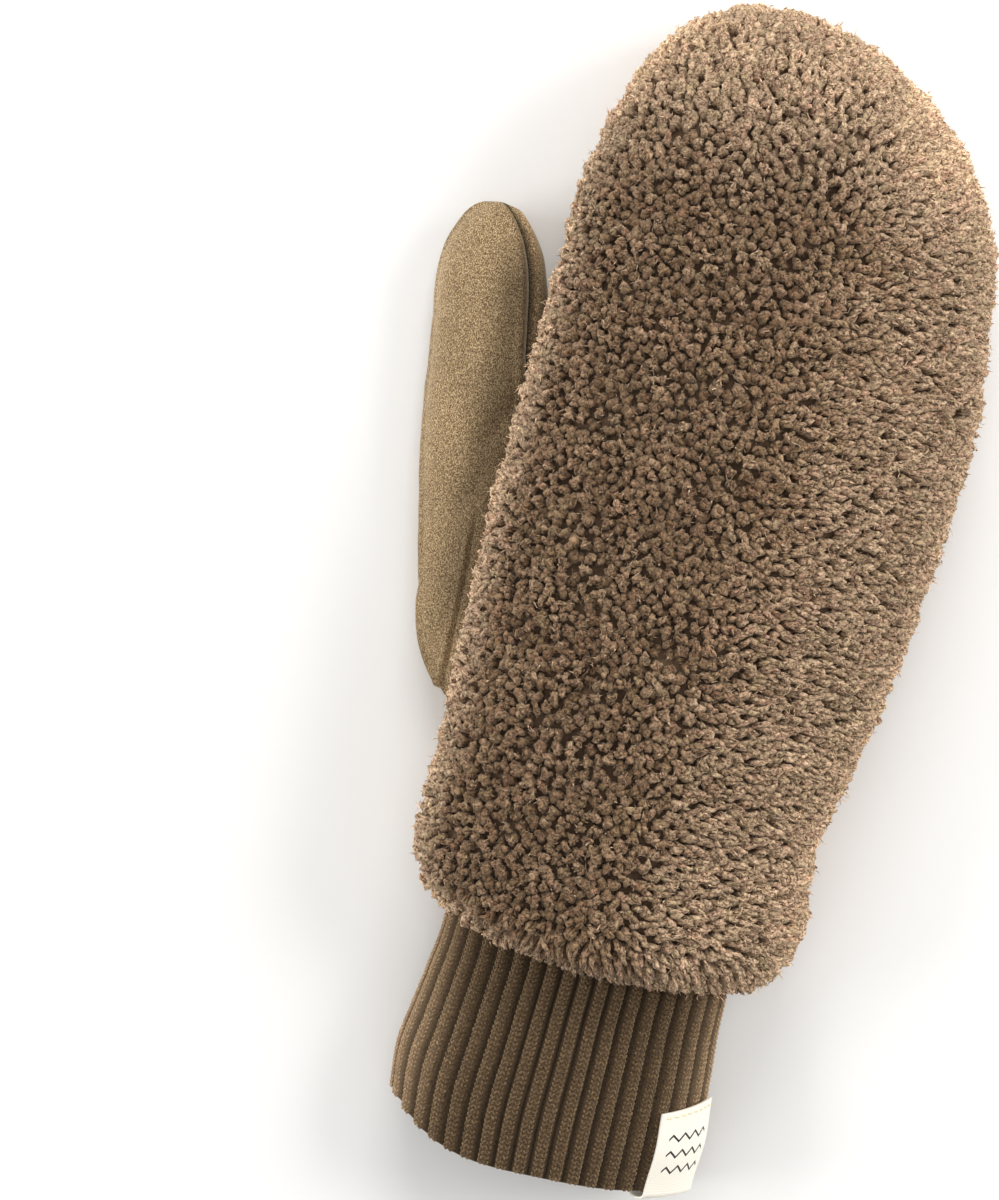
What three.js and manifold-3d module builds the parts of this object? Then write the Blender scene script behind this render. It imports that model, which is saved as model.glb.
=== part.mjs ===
// A right-hand mitten that lies on its palm: a curly fleece back, a suede palm and thumb, a ribbed knit
// cuff and a folded label. Millimetres, +Z up through the back, +Y to the fingertips, -X to the thumb.
import * as THREE from "three";
import Module from "manifold-3d";

const wasm = await Module();
wasm.setup();

// Hand: from the rolled hem at y = 0 to the fingertips
const HAND_LENGTH = 238;
const HAND_WIDTH = 109;
const HAND_HEIGHT = 46;
const TIP_LENGTH = 67;
const HEM_ROLL = 26;
const TIP_LEVEL = 13;
const THUMB_SIDE_LEVEL = 25;
const LITTLE_SIDE_LEVEL = 17;
const PILE_WALL = 7;
const SUEDE_WALL = 2;
const HEM_WALL = 9;
const FLATTENED = 0.8; // how far the soft underside is pressed flat where it rests
const PALM_INSET = 9; // the fleece border that shows round the palm
const PALM_SIDE_HEIGHT = 20; // how far the palm is turned up on the thumb side
const PALM_SIDE_END = 24; // from the tip, where the turned-up side has gone under the fleece
const PALM_SIDE_FADE = 55; // the length over which it goes under
const PALM_HEM = 1.5; // the palm's hem stands back from the fleece's
const PILE_RELIEF = 0.9;
const PILE_CLUMP = 24;
const PILE_FADE = 8; // the lumps end this far under the little finger side's widest level

// Thumb: from its root beside the palm to its tip
const THUMB_ROOT = 57; // from the hem
const THUMB_LENGTH = 121;
const THUMB_WIDTH = 30;
const THUMB_THICKNESS = 20;
const THUMB_TIP_LENGTH = 26;
const THUMB_ROOT_LENGTH = 26;
const THUMB_EDGE_RISE = 6.34; // how much higher the edge beside the hand lies than the thumb's middle
const THUMB_ROLL = Math.asin((2 * THUMB_EDGE_RISE) / THUMB_WIDTH);

// Cuff: a flattened ribbed tube
const CUFF_WIDTH = 77;
const CUFF_THICKNESS = 28;
const CUFF_SHOWN = 50.5;
const CUFF_TUCK = 20;
const CUFF_WALL = 3;
const RIB_PITCH = 4.5;
const RIB_DEPTH = 1.1;
const HEM_RISE_THUMB = 13; // how far the hem's ends curl up at the thumb side
const HEM_RISE_LITTLE = 5;

// Label: a tape folded over the cuff's hem
const LABEL_WIDTH = 14;
const LABEL_OUTER_LEG = 21;
const LABEL_INNER_LEG = 9;
const LABEL_THICKNESS = 0.8;
const LABEL_STAND_OFF = 0.7;
const LABEL_ANGLE = THREE.MathUtils.degToRad(30); // its middle, up from the little-finger side

const SEAM_GAP = 0.3;
const BLOCK_MARGIN = 5; // how far a cutting block reaches past what it cuts

// Powers of the rounded sections, where 1 is an ellipse and less is squarer
const SECTION_POWER = { back: 0.88, palm: 0.82, cuff: 0.9 };
// Powers of the rounded ends, where 2 is an ellipse and more is squarer
const END_POWER = { hem: 2.5, hemBack: 4, hemPalm: 12, tip: 2, tipPalm: 3, thumbRoot: 2, thumbTip: 2.1 };

// Shares of HAND_LENGTH less its two ends, of HAND_WIDTH from the axis, and of HAND_HEIGHT
const HAND_SECTIONS = [
  { at: 0, thumbSide: -0.38, littleSide: 0.514, height: 0.9 },
  { at: 0.1, thumbSide: -0.371, littleSide: 0.506, height: 0.93 },
  { at: 0.24, thumbSide: -0.37, littleSide: 0.548, height: 0.98 },
  { at: 0.45, thumbSide: -0.367, littleSide: 0.604, height: 1 },
  { at: 0.655, thumbSide: -0.356, littleSide: 0.642, height: 1 },
  { at: 0.83, thumbSide: -0.342, littleSide: 0.66, height: 0.98 },
  { at: 1, thumbSide: -0.33, littleSide: 0.642, height: 0.94 },
];
const HEM_MIDDLE = 0.13; // of HAND_WIDTH, where the hem hangs lowest
const TIP_MIDDLE = 0.05; // of HAND_WIDTH, where the tip is

// Shares of THUMB_LENGTH less its two ends, of THUMB_WIDTH, THUMB_THICKNESS and THUMB_ROLL. The middle
// stands out from the hand's thumb side.
const THUMB_SECTIONS = [
  { at: 0, out: -0.09, width: 0.99, thickness: 0.92, roll: 0.1 },
  { at: 0.26, out: 0.05, width: 1.03, thickness: 1, roll: 0.35 },
  { at: 0.55, out: 0.19, width: 1.02, thickness: 1, roll: 0.7 },
  { at: 0.83, out: 0.333, width: 0.99, thickness: 1, roll: 1 },
  { at: 1, out: 0.413, width: 0.96, thickness: 0.96, roll: 1 },
];
const THUMB_ROOT_OUT = -0.13; // of THUMB_WIDTH
const THUMB_TIP_OUT = 0.567;

// Shares of the cuff's whole length from its tucked edge, of CUFF_WIDTH and of CUFF_THICKNESS
const CUFF_SECTIONS = [
  { at: 0, middle: 0.071, width: 0.91, thickness: 1, drop: 0 },
  { at: 0.28, middle: 0.071, width: 0.925, thickness: 1, drop: 0 },
  { at: 0.45, middle: 0.062, width: 0.945, thickness: 1, drop: 1 },
  { at: 0.6, middle: 0.055, width: 0.97, thickness: 1.02, drop: 1 },
  { at: 0.8, middle: 0.045, width: 1, thickness: 1.03, drop: 1 },
  { at: 1, middle: 0.045, width: 0.985, thickness: 1, drop: 1 },
];

const { clamp, lerp, smoothstep } = THREE.MathUtils;
const TURN = 2 * Math.PI;

// A table's column at a share of its length, on a smooth curve through its rows
function read(table, column, share) {
  const at = clamp(share, 0, 1);
  const last = table.length - 2;
  const found = table.findIndex((row, i) => i <= last && at <= table[i + 1].at);
  const i = found < 0 ? last : found;
  const slope = (a, b) => (table[b][column] - table[a][column]) / (table[b].at - table[a].at);
  const from = slope(Math.max(i - 1, 0), i + 1);
  const to = slope(i, Math.min(i + 2, table.length - 1));
  const span = table[i + 1].at - table[i].at;
  const t = (at - table[i].at) / span;
  return (
    table[i][column] * (1 + 2 * t) * (1 - t) ** 2 +
    table[i + 1][column] * t * t * (3 - 2 * t) +
    span * (from * t * (1 - t) ** 2 - to * t * t * (1 - t))
  );
}

// How full a rounded end is, from 1 where it starts to 0 at its pole
function fullness(share, power) {
  return (1 - clamp(share, 0, 1) ** power) ** (1 / power);
}

// Points at even steps along a closed curve given by an angle
function evenRing(pointAt, count) {
  const fine = count * 6;
  const points = Array.from({ length: fine + 1 }, (_, i) => pointAt((i / fine) * TURN));
  const run = [0];
  for (let i = 1; i <= fine; i += 1) {
    run.push(run[i - 1] + points[i].distanceTo(points[i - 1]));
  }
  const ring = [];
  let i = 1;
  for (let k = 0; k < count; k += 1) {
    const goal = (k / count) * run[fine];
    while (run[i] < goal) {
      i += 1;
    }
    const t = (goal - run[i - 1]) / Math.max(run[i] - run[i - 1], 1e-9);
    ring.push(points[i - 1].clone().lerp(points[i], t));
  }
  return ring;
}

// A solid from flat lists of points and triangles, turned to face outwards
function toSolid(points, triangles) {
  let volume = 0;
  for (const [a, b, c] of triangles) {
    volume += points[a].dot(points[b].clone().cross(points[c]));
  }
  const order = volume < 0 ? [0, 2, 1] : [0, 1, 2];
  const vertProperties = new Float32Array(points.flatMap((p) => [p.x, p.y, p.z]));
  const triVerts = new Uint32Array(triangles.flatMap((t) => order.map((k) => t[k])));
  return new wasm.Manifold(new wasm.Mesh({ numProp: 3, vertProperties, triVerts }));
}

// A solid through rings of equal count, with a fan to a pole at each end
function loft(rings, poles) {
  const count = rings[0].length;
  const points = [...rings.flat(), ...poles];
  const triangles = [];
  for (let r = 0; r + 1 < rings.length; r += 1) {
    for (let k = 0; k < count; k += 1) {
      const a = r * count + k;
      const b = r * count + ((k + 1) % count);
      triangles.push([a, b, b + count], [a, b + count, a + count]);
    }
  }
  const lastRing = (rings.length - 1) * count;
  for (let k = 0; k < count; k += 1) {
    const next = (k + 1) % count;
    triangles.push([next, k, rings.length * count]);
    triangles.push([lastRing + k, lastRing + next, rings.length * count + 1]);
  }
  return toSolid(points, triangles);
}

function middleOf(ring) {
  const sum = ring.reduce((total, p) => total.add(p), new THREE.Vector3());
  return sum.divideScalar(ring.length);
}

function loftWithFlatEnds(rings) {
  return loft(rings, [middleOf(rings[0]), middleOf(rings[rings.length - 1])]);
}

// Places along a form with two rounded ends, closer together towards each pole
function stationsAlong(start, end, startRound, endRound, startCount, bodyCount, endCount) {
  const stations = [];
  for (let i = startCount; i > 0; i -= 1) {
    stations.push(start + startRound * (1 - Math.sin(((i / (startCount + 0.5)) * Math.PI) / 2)));
  }
  for (let i = 0; i <= bodyCount; i += 1) {
    stations.push(lerp(start + startRound, end - endRound, i / bodyCount));
  }
  for (let i = 1; i <= endCount; i += 1) {
    stations.push(end - endRound + endRound * Math.sin(((i / (endCount + 0.5)) * Math.PI) / 2));
  }
  return stations;
}

// The hand's section at a distance from the hem, moved inwards by the insets
function handSection(y, inset) {
  const body = HAND_LENGTH - HEM_ROLL - TIP_LENGTH;
  const share = (y - HEM_ROLL) / body;
  const hemShare = (HEM_ROLL - y) / (HEM_ROLL - inset.hem);
  const tipShare = (y - HEM_ROLL - body) / (TIP_LENGTH - inset.tip);
  const thumbSide = read(HAND_SECTIONS, "thumbSide", share) * HAND_WIDTH + inset.side;
  const littleSide = read(HAND_SECTIONS, "littleSide", share) * HAND_WIDTH - inset.side;
  const height = read(HAND_SECTIONS, "height", share) * HAND_HEIGHT - inset.top;
  const hem = clamp(hemShare, 0, 1);
  const tip = clamp(tipShare, 0, 1);
  const fullWidth = fullness(hem, END_POWER.hem) * fullness(tip, END_POWER.tip);
  const fullHeight = fullness(hem, END_POWER.hemBack) * fullness(tip, END_POWER.tip);
  const straight = (thumbSide + littleSide) / 2;
  const middle = lerp(lerp(straight, HEM_MIDDLE * HAND_WIDTH, hem ** 2), TIP_MIDDLE * HAND_WIDTH, tip ** 2.5);
  const half = ((littleSide - thumbSide) / 2) * fullWidth;
  const fullDepth = fullness(hem, END_POWER.hemPalm) * fullness(tip, END_POWER.tipPalm);
  const poleLevel = lerp(LITTLE_SIDE_LEVEL, TIP_LEVEL, tip ** 2);
  return {
    thumbSide: middle - half,
    littleSide: middle + half,
    middle,
    poleLevel,
    thumbLevel: lerp(THUMB_SIDE_LEVEL, poleLevel, Math.max(hem, tip) ** 2),
    littleLevel: poleLevel,
    top: poleLevel + (height - poleLevel) * fullHeight,
    bottom: poleLevel - (poleLevel - inset.bottom) * fullDepth,
  };
}

const OUTSIDE = { side: 0, top: 0, bottom: 0, hem: 0, tip: 0 };
const CLEAR_OF_HAND = {
  side: -SEAM_GAP,
  top: -SEAM_GAP,
  bottom: -SEAM_GAP,
  hem: -SEAM_GAP,
  tip: -SEAM_GAP,
};
const INSIDE = { side: PILE_WALL, top: PILE_WALL, bottom: SUEDE_WALL, hem: HEM_WALL, tip: PILE_WALL };

// One ring of the hand: two rounded flanks at their own levels, a domed back and a pressed flat palm
function handRing(y, inset, count, relief) {
  const section = handSection(y, inset);
  const pointAt = (angle) => {
    const c = Math.cos(angle);
    const s = Math.sin(angle);
    const suedeSide = c < 0 ? 1 - smoothstep(s, -0.3, 0) : 0;
    const regained = suedeSide * Math.max(inset.side - SUEDE_WALL, 0);
    const side = c > 0 ? section.littleSide : section.thumbSide - regained;
    const power = s > 0 ? SECTION_POWER.back : SECTION_POWER.palm;
    const x = section.middle + (side - section.middle) * Math.abs(c) ** power;
    const level = lerp(section.thumbLevel, section.littleLevel, (1 + c) / 2);
    if (s > 0) {
      return new THREE.Vector3(x, y, level + (section.top - level) * s ** power);
    }
    const pressed = level - (level - section.bottom + FLATTENED) * Math.abs(s) ** power;
    return new THREE.Vector3(x, y, Math.max(pressed, section.bottom));
  };
  const ring = evenRing(pointAt, count);
  const full = Math.min(1, (section.littleSide - section.thumbSide) / (HAND_WIDTH / 2));
  const centre = new THREE.Vector3(section.middle, y, section.poleLevel);
  return ring.map((p, k) => {
    const fleece = smoothstep(p.z, LITTLE_SIDE_LEVEL - PILE_FADE, THUMB_SIDE_LEVEL) * full * relief;
    const across = (k / count) * Math.round((2.3 * HAND_WIDTH) / PILE_CLUMP) * TURN;
    const along = (y / PILE_CLUMP) * TURN;
    const clump = Math.sin(across + Math.sin(along * 0.6)) * Math.sin(along + Math.sin(across / 2));
    const outward = p.clone().sub(centre).normalize();
    return p.addScaledVector(outward, fleece * clump * PILE_RELIEF);
  });
}

function handForm(inset, counts, relief) {
  const start = inset.hem;
  const end = HAND_LENGTH - inset.tip;
  const places = stationsAlong(start, end, HEM_ROLL - start, TIP_LENGTH - inset.tip, ...counts.along);
  const rings = places.map((y) => handRing(y, inset, counts.round, relief));
  const hem = handSection(start, inset);
  const tip = handSection(end, inset);
  return loft(rings, [
    new THREE.Vector3(hem.middle, start, hem.poleLevel),
    new THREE.Vector3(tip.middle, end, tip.poleLevel),
  ]);
}

// The block that holds the palm: its sides stand where the palm's edge lies, and its top where the side
// that is turned up ends
function palmBlock(grow, hemEnd) {
  const bodyEnd = HAND_LENGTH - TIP_LENGTH;
  const inset = { ...OUTSIDE, side: PALM_INSET - grow, tip: PALM_INSET - grow };
  const places = [hemEnd, ...stationsAlong(HEM_ROLL, HAND_LENGTH - inset.tip, 0, TIP_LENGTH, 0, 14, 14)];
  const rings = places.map((y) => {
    const section = handSection(Math.max(y, HEM_ROLL), inset);
    const sideEnd = HAND_LENGTH - PALM_SIDE_END;
    const turned = 1 - smoothstep(y, sideEnd - PALM_SIDE_FADE, sideEnd);
    const thumbSide = section.thumbSide - turned * (PALM_INSET + BLOCK_MARGIN);
    const level = lerp(PALM_SIDE_HEIGHT, TIP_LEVEL, smoothstep(y, bodyEnd, sideEnd));
    const top = level + grow;
    return [
      new THREE.Vector3(thumbSide, y, -BLOCK_MARGIN),
      new THREE.Vector3(section.littleSide, y, -BLOCK_MARGIN),
      new THREE.Vector3(section.littleSide, y, top),
      new THREE.Vector3(thumbSide, y, top),
    ];
  });
  return loftWithFlatEnds(rings);
}

// The thumb's section at a distance from its root
function thumbSection(along, inset) {
  const body = THUMB_LENGTH - THUMB_ROOT_LENGTH - THUMB_TIP_LENGTH;
  const share = (along - THUMB_ROOT_LENGTH) / body;
  const root = clamp((THUMB_ROOT_LENGTH - along) / (THUMB_ROOT_LENGTH - inset), 0, 1);
  const tip = clamp((along - THUMB_ROOT_LENGTH - body) / (THUMB_TIP_LENGTH - inset), 0, 1);
  const full = fullness(root, END_POWER.thumbRoot) * fullness(tip, END_POWER.thumbTip);
  const straight = read(THUMB_SECTIONS, "out", share);
  const out = lerp(lerp(straight, THUMB_ROOT_OUT, root), THUMB_TIP_OUT, tip) * THUMB_WIDTH;
  const y = THUMB_ROOT + along;
  const width = (read(THUMB_SECTIONS, "width", share) * THUMB_WIDTH) / 2;
  const thickness = (read(THUMB_SECTIONS, "thickness", share) * THUMB_THICKNESS) / 2;
  const roll = read(THUMB_SECTIONS, "roll", share) * THUMB_ROLL;
  const rise = Math.hypot(width * Math.sin(roll), thickness * Math.cos(roll));
  return {
    roll,
    middle: handSection(y, OUTSIDE).thumbSide - out,
    level: rise - FLATTENED,
    halfWidth: (width - inset) * full,
    halfThickness: (thickness - inset) * full,
    lowest: inset,
  };
}

// A point of the thumb at a distance along it, across its width and through its thickness
function thumbPoint(section, along, wide, thick) {
  const x = section.middle + wide * Math.cos(section.roll) - thick * Math.sin(section.roll);
  const z = section.level + wide * Math.sin(section.roll) + thick * Math.cos(section.roll);
  return new THREE.Vector3(x, THUMB_ROOT + along, z);
}

function thumbForm(inset, counts) {
  const places = stationsAlong(
    inset,
    THUMB_LENGTH - inset,
    THUMB_ROOT_LENGTH - inset,
    THUMB_TIP_LENGTH - inset,
    ...counts.along,
  );
  const rings = places.map((along) => {
    const section = thumbSection(along, inset);
    const pointAt = (angle) => {
      const wide = section.halfWidth * Math.cos(angle);
      const point = thumbPoint(section, along, wide, section.halfThickness * Math.sin(angle));
      return point.setZ(Math.max(point.z, section.lowest));
    };
    return evenRing(pointAt, counts.round);
  });
  const ends = [inset, THUMB_LENGTH - inset];
  const poles = ends.map((along) => thumbPoint(thumbSection(along, inset), along, 0, 0));
  return loft(rings, poles);
}

// Everything on one side of the thumb's seam, which runs along its middle at its roll
function besideThumbSeam(side) {
  const reach = THUMB_WIDTH * 2;
  const near = (side * SEAM_GAP) / 2;
  const far = side * reach;
  const steps = 12;
  const rings = Array.from({ length: steps + 1 }, (_, i) => {
    const along = lerp(-BLOCK_MARGIN, THUMB_LENGTH + BLOCK_MARGIN, i / steps);
    const section = thumbSection(clamp(along, 0, THUMB_LENGTH), 0);
    const corner = (wide, thick) => thumbPoint(section, along, wide, thick);
    return [corner(-reach, near), corner(reach, near), corner(reach, far), corner(-reach, far)];
  });
  return loftWithFlatEnds(rings);
}

// A point of the cuff at an angle round it and a share of its length, moved outwards
function cuffPoint(angle, share, out) {
  const middle = read(CUFF_SECTIONS, "middle", share) * CUFF_WIDTH;
  const halfWidth = (read(CUFF_SECTIONS, "width", share) * CUFF_WIDTH) / 2;
  const halfHeight = (read(CUFF_SECTIONS, "thickness", share) * CUFF_THICKNESS) / 2;
  const drop = read(CUFF_SECTIONS, "drop", share) * (SUEDE_WALL + SEAM_GAP);
  const lowest = SUEDE_WALL + SEAM_GAP - drop;
  const c = Math.cos(angle);
  const s = Math.sin(angle);
  const x = middle + Math.sign(c) * (halfWidth + out) * Math.abs(c) ** SECTION_POWER.cuff;
  const high = Math.sign(s) * (halfHeight + out) * Math.abs(s) ** SECTION_POWER.cuff;
  const z = lowest + halfHeight - FLATTENED + high;
  const rise = c < 0 ? HEM_RISE_THUMB : HEM_RISE_LITTLE;
  const hem = -CUFF_SHOWN + rise * Math.abs(c) ** 3;
  return new THREE.Vector3(x, lerp(CUFF_TUCK, hem, share), Math.max(z, lowest - Math.min(out, 0)));
}

function ribbedCuff() {
  const oval = evenRing((angle) => cuffPoint(angle, 1, 0), 200);
  const around = oval.reduce((sum, p, k) => sum + p.distanceTo(oval[(k + 1) % oval.length]), 0);
  const ribs = Math.round(around / RIB_PITCH);
  const perRib = 3;
  const count = ribs * perRib;
  const ring = (share, out, depth) => {
    const crests = evenRing((angle) => cuffPoint(angle, share, out), count);
    const grooves = evenRing((angle) => cuffPoint(angle, share, out - depth), count);
    return crests.map((p, k) => (k % perRib === 0 ? grooves[k] : p));
  };
  const outside = [0, 0.28, 0.42, 0.6, 0.78, 0.92].map((share) => ring(share, 0, RIB_DEPTH));
  const foldedHem = [ring(0.99, -0.15, RIB_DEPTH), ring(1, -CUFF_WALL / 2, 0)];
  const inside = [0.97, 0.45, 0].map((share) => ring(share, -CUFF_WALL, 0));
  const rings = [...outside, ...foldedHem, ...inside];
  const points = rings.flat();
  const triangles = [];
  for (let r = 0; r < rings.length; r += 1) {
    const next = (r + 1) % rings.length;
    for (let k = 0; k < count; k += 1) {
      const far = (k + 1) % count;
      triangles.push([r * count + k, r * count + far, next * count + far]);
      triangles.push([r * count + k, next * count + far, next * count + k]);
    }
  }
  return toSolid(points, triangles);
}

// The space that the tucked end of the cuff takes in the mitten's mouth
function cuffSpace() {
  const whole = CUFF_TUCK + CUFF_SHOWN;
  const ends = [0, CUFF_TUCK / whole, 0.5];
  const rings = ends.map((share) => evenRing((angle) => cuffPoint(angle, share, SEAM_GAP), 48));
  rings[0] = rings[0].map((p) => p.clone().setY(CUFF_TUCK + SEAM_GAP));
  return loftWithFlatEnds(rings);
}

// The tape: down the outside of the cuff, round the hem and up the inside
function foldedLabel() {
  const whole = CUFF_TUCK + CUFF_SHOWN;
  const legOut = LABEL_STAND_OFF + LABEL_THICKNESS;
  const legIn = -CUFF_WALL - LABEL_STAND_OFF - LABEL_THICKNESS;
  const radius = (legOut - legIn) / 2;
  const middle = (legOut + legIn) / 2;
  const bendSteps = 6;
  const legEnd = (past, out, out2) => ({ past, out, past2: past, out2 });
  const lines = [legEnd(-LABEL_OUTER_LEG, legOut, legOut - LABEL_THICKNESS)];
  for (let i = 0; i <= bendSteps; i += 1) {
    const turn = (i / bendSteps) * Math.PI;
    const inner = radius - LABEL_THICKNESS;
    lines.push({
      past: Math.sin(turn) * radius + LABEL_STAND_OFF,
      out: middle + Math.cos(turn) * radius,
      past2: Math.sin(turn) * inner + LABEL_STAND_OFF,
      out2: middle + Math.cos(turn) * inner,
    });
  }
  lines.push(legEnd(-LABEL_INNER_LEG, legIn, legIn + LABEL_THICKNESS));
  const edges = [-0.1, 0.1].map((turn) => cuffPoint(LABEL_ANGLE + turn, 1, legOut));
  const halfAngle = (0.1 * LABEL_WIDTH) / edges[0].distanceTo(edges[1]);
  const steps = 5;
  const rings = Array.from({ length: steps + 1 }, (_, i) => {
    const angle = LABEL_ANGLE + lerp(-halfAngle, halfAngle, i / steps);
    const spot = (past, out) => {
      const p = cuffPoint(angle, 1 + Math.min(past, 0) / whole, out);
      p.y -= Math.max(past, 0);
      return p;
    };
    const faceOut = lines.map((line) => spot(line.past, line.out));
    const faceIn = lines.map((line) => spot(line.past2, line.out2)).reverse();
    return [...faceOut, ...faceIn];
  });
  const count = rings[0].length;
  const points = rings.flat();
  const triangles = [];
  for (let r = 0; r + 1 < rings.length; r += 1) {
    for (let k = 0; k < count; k += 1) {
      const next = (k + 1) % count;
      triangles.push([r * count + k, r * count + next, (r + 1) * count + next]);
      triangles.push([r * count + k, (r + 1) * count + next, (r + 1) * count + k]);
    }
  }
  const last = (rings.length - 1) * count;
  for (let k = 0; k + 1 < lines.length; k += 1) {
    const back = count - 1 - k;
    triangles.push([k, back, k + 1], [k + 1, back, back - 1]);
    triangles.push([last + k, last + k + 1, last + back], [last + k + 1, last + back - 1, last + back]);
  }
  return toSolid(points, triangles);
}

// How many rings each form has in its two rounded ends and between them, and points in each ring
const HAND_MESH = { along: [5, 22, 10], round: 48 };
const HAND_LINING_MESH = { along: [3, 9, 6], round: 28 };
const THUMB_MESH = { along: [4, 8, 6], round: 22 };
const THUMB_LINING_MESH = { along: [3, 6, 4], round: 16 };
const handOutside = handForm(OUTSIDE, HAND_MESH, 1);
const handInside = handForm(INSIDE, HAND_LINING_MESH, 0);
const handCleared = handForm(CLEAR_OF_HAND, HAND_MESH, 1);
const mouth = cuffSpace();
const thumbInside = thumbForm(SUEDE_WALL, THUMB_LINING_MESH);
const handShell = handOutside.subtract(handInside).subtract(mouth);

const fleeceBack = handShell.subtract(palmBlock(SEAM_GAP, -BLOCK_MARGIN));
const suedePalm = handShell.intersect(palmBlock(0, PALM_HEM)).subtract(thumbInside);
const thumbShell = thumbForm(0, THUMB_MESH).subtract(thumbInside).subtract(handCleared);
const thumbOuter = thumbShell.intersect(besideThumbSeam(1));
const thumbInner = thumbShell.intersect(besideThumbSeam(-1));

function mesh(name, solid, color, roughness) {
  const { vertProperties, triVerts } = solid.getMesh();
  const geometry = new THREE.BufferGeometry();
  geometry.setAttribute("position", new THREE.BufferAttribute(vertProperties, 3));
  geometry.setIndex(new THREE.BufferAttribute(triVerts, 1));
  geometry.computeVertexNormals();
  const material = new THREE.MeshStandardMaterial({ color, roughness, metalness: 0 });
  const made = new THREE.Mesh(geometry, material);
  made.name = name;
  return made;
}

const group = new THREE.Group();
group.add(mesh("fleece_back", fleeceBack, 0x8a7058, 1));
group.add(mesh("suede_palm", suedePalm, 0x967c5f, 0.95));
group.add(mesh("thumb_outer", thumbOuter, 0x9a8061, 0.95));
group.add(mesh("thumb_inner", thumbInner, 0x8f7659, 0.95));
group.add(mesh("rib_cuff", ribbedCuff(), 0x5a4932, 0.95));
group.add(mesh("hem_label", foldedLabel(), 0xf5efdd, 0.8));

// The origin lies on the floor under the middle of the whole mitten
const box = new THREE.Box3().setFromObject(group);
const middle = box.getCenter(new THREE.Vector3());
group.position.set(-middle.x, -middle.y, -box.min.z);
group.updateMatrixWorld(true);

export default group;
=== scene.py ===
# A right-hand mitten that lies on its palm: a curly fleece back, a suede palm and thumb, a ribbed knit
# cuff and a folded label. Pieces are worked out in millimetres from the hem and placed in the row frame:
# +Y to the fingertips, +Z up through the back, -X to the thumb.
import math

import bmesh
import bpy
import numpy as np
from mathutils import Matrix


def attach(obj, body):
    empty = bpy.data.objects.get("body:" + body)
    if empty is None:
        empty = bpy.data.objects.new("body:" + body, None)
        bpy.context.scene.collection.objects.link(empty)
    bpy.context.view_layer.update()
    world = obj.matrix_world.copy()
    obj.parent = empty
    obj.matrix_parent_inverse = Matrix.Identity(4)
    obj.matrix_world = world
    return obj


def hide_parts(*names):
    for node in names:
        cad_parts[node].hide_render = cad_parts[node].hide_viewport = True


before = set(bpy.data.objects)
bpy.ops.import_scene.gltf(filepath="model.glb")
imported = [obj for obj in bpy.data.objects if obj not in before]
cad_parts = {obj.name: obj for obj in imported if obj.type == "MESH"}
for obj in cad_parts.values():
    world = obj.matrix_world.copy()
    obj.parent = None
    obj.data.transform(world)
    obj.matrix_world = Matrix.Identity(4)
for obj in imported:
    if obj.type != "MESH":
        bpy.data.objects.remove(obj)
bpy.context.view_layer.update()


# Studio: a plain pale table top, soft lights low on both sides and beyond the fingertips, a weaker one
# overhead, and the camera straight above, turned so that the mitten leans as it does in the photograph.
LEAN = math.radians(12)
LONG_SIDE_SEEN, SEEN_LEVEL, CAMERA_HEIGHT = 0.2895, 0.02, 1.3
LOOKED_AT = (-0.0370, -0.0094)
SENSOR_WIDTH = 36.0
TABLE_HALF = 4.0

camera = bpy.data.objects.new("camera", bpy.data.cameras.new("camera"))
camera.data.sensor_width = SENSOR_WIDTH
camera.data.lens = SENSOR_WIDTH * CAMERA_HEIGHT / LONG_SIDE_SEEN
camera.location = (*LOOKED_AT, SEEN_LEVEL + CAMERA_HEIGHT)
camera.rotation_euler = (0, 0, LEAN)
bpy.context.scene.collection.objects.link(camera)
bpy.context.scene.camera = camera
bpy.context.scene.view_settings.view_transform = "Standard"


def softbox(name, compass, elevation, distance, size, power):
    """A square soft light aimed at the mitten: compass is in degrees from +X towards +Y, and elevation
    in degrees above the table."""
    light = bpy.data.lights.new(name, "AREA")
    light.size, light.energy = size, power
    lamp = bpy.data.objects.new(name, light)
    compass, elevation = math.radians(compass), math.radians(elevation)
    flat = math.cos(elevation) * distance
    lamp.location = (flat * math.cos(compass), flat * math.sin(compass), math.sin(elevation) * distance)
    lamp.rotation_euler = (math.pi / 2 - elevation, 0, compass + math.pi / 2)
    lamp.visible_camera = False
    bpy.context.scene.collection.objects.link(lamp)


softbox("window_right", 25, 30, 1.3, 0.8, 13)
softbox("window_left", 190, 22, 1.3, 0.8, 11)
softbox("window_far", 100, 32, 1.4, 0.8, 10)
softbox("overhead", 102, 88, 1.7, 0.7, 2)

world = bpy.data.worlds.new("room")
bpy.context.scene.world = world
world.use_nodes = True
room_light = world.node_tree.nodes["Background"].inputs
room_light["Color"].default_value = (1, 1, 1, 1)
room_light["Strength"].default_value = 0.42


def linear(hex_colour):
    """A colour given in sRGB as #rrggbb, turned to linear red, green, blue and an alpha of 1."""
    shares = [int(hex_colour[i : i + 2], 16) / 255 for i in (1, 3, 5)]
    straight = [s / 12.92 if s <= 0.04045 else ((s + 0.055) / 1.055) ** 2.4 for s in shares]
    return (*straight, 1.0)


def set_node(tree, node, settings):
    """Sets a node's sockets, by name or number, and its other properties. Where the value is another
    node or one of its sockets, it is linked: a node by its first output."""
    for name, value in settings.items():
        if isinstance(value, bpy.types.Node):
            value = value.outputs[0]
        if isinstance(value, bpy.types.NodeSocket):
            tree.links.new(value, node.inputs[name])
        elif isinstance(name, int) or name in node.inputs:
            node.inputs[name].default_value = value
        else:
            setattr(node, name, value)


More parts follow.
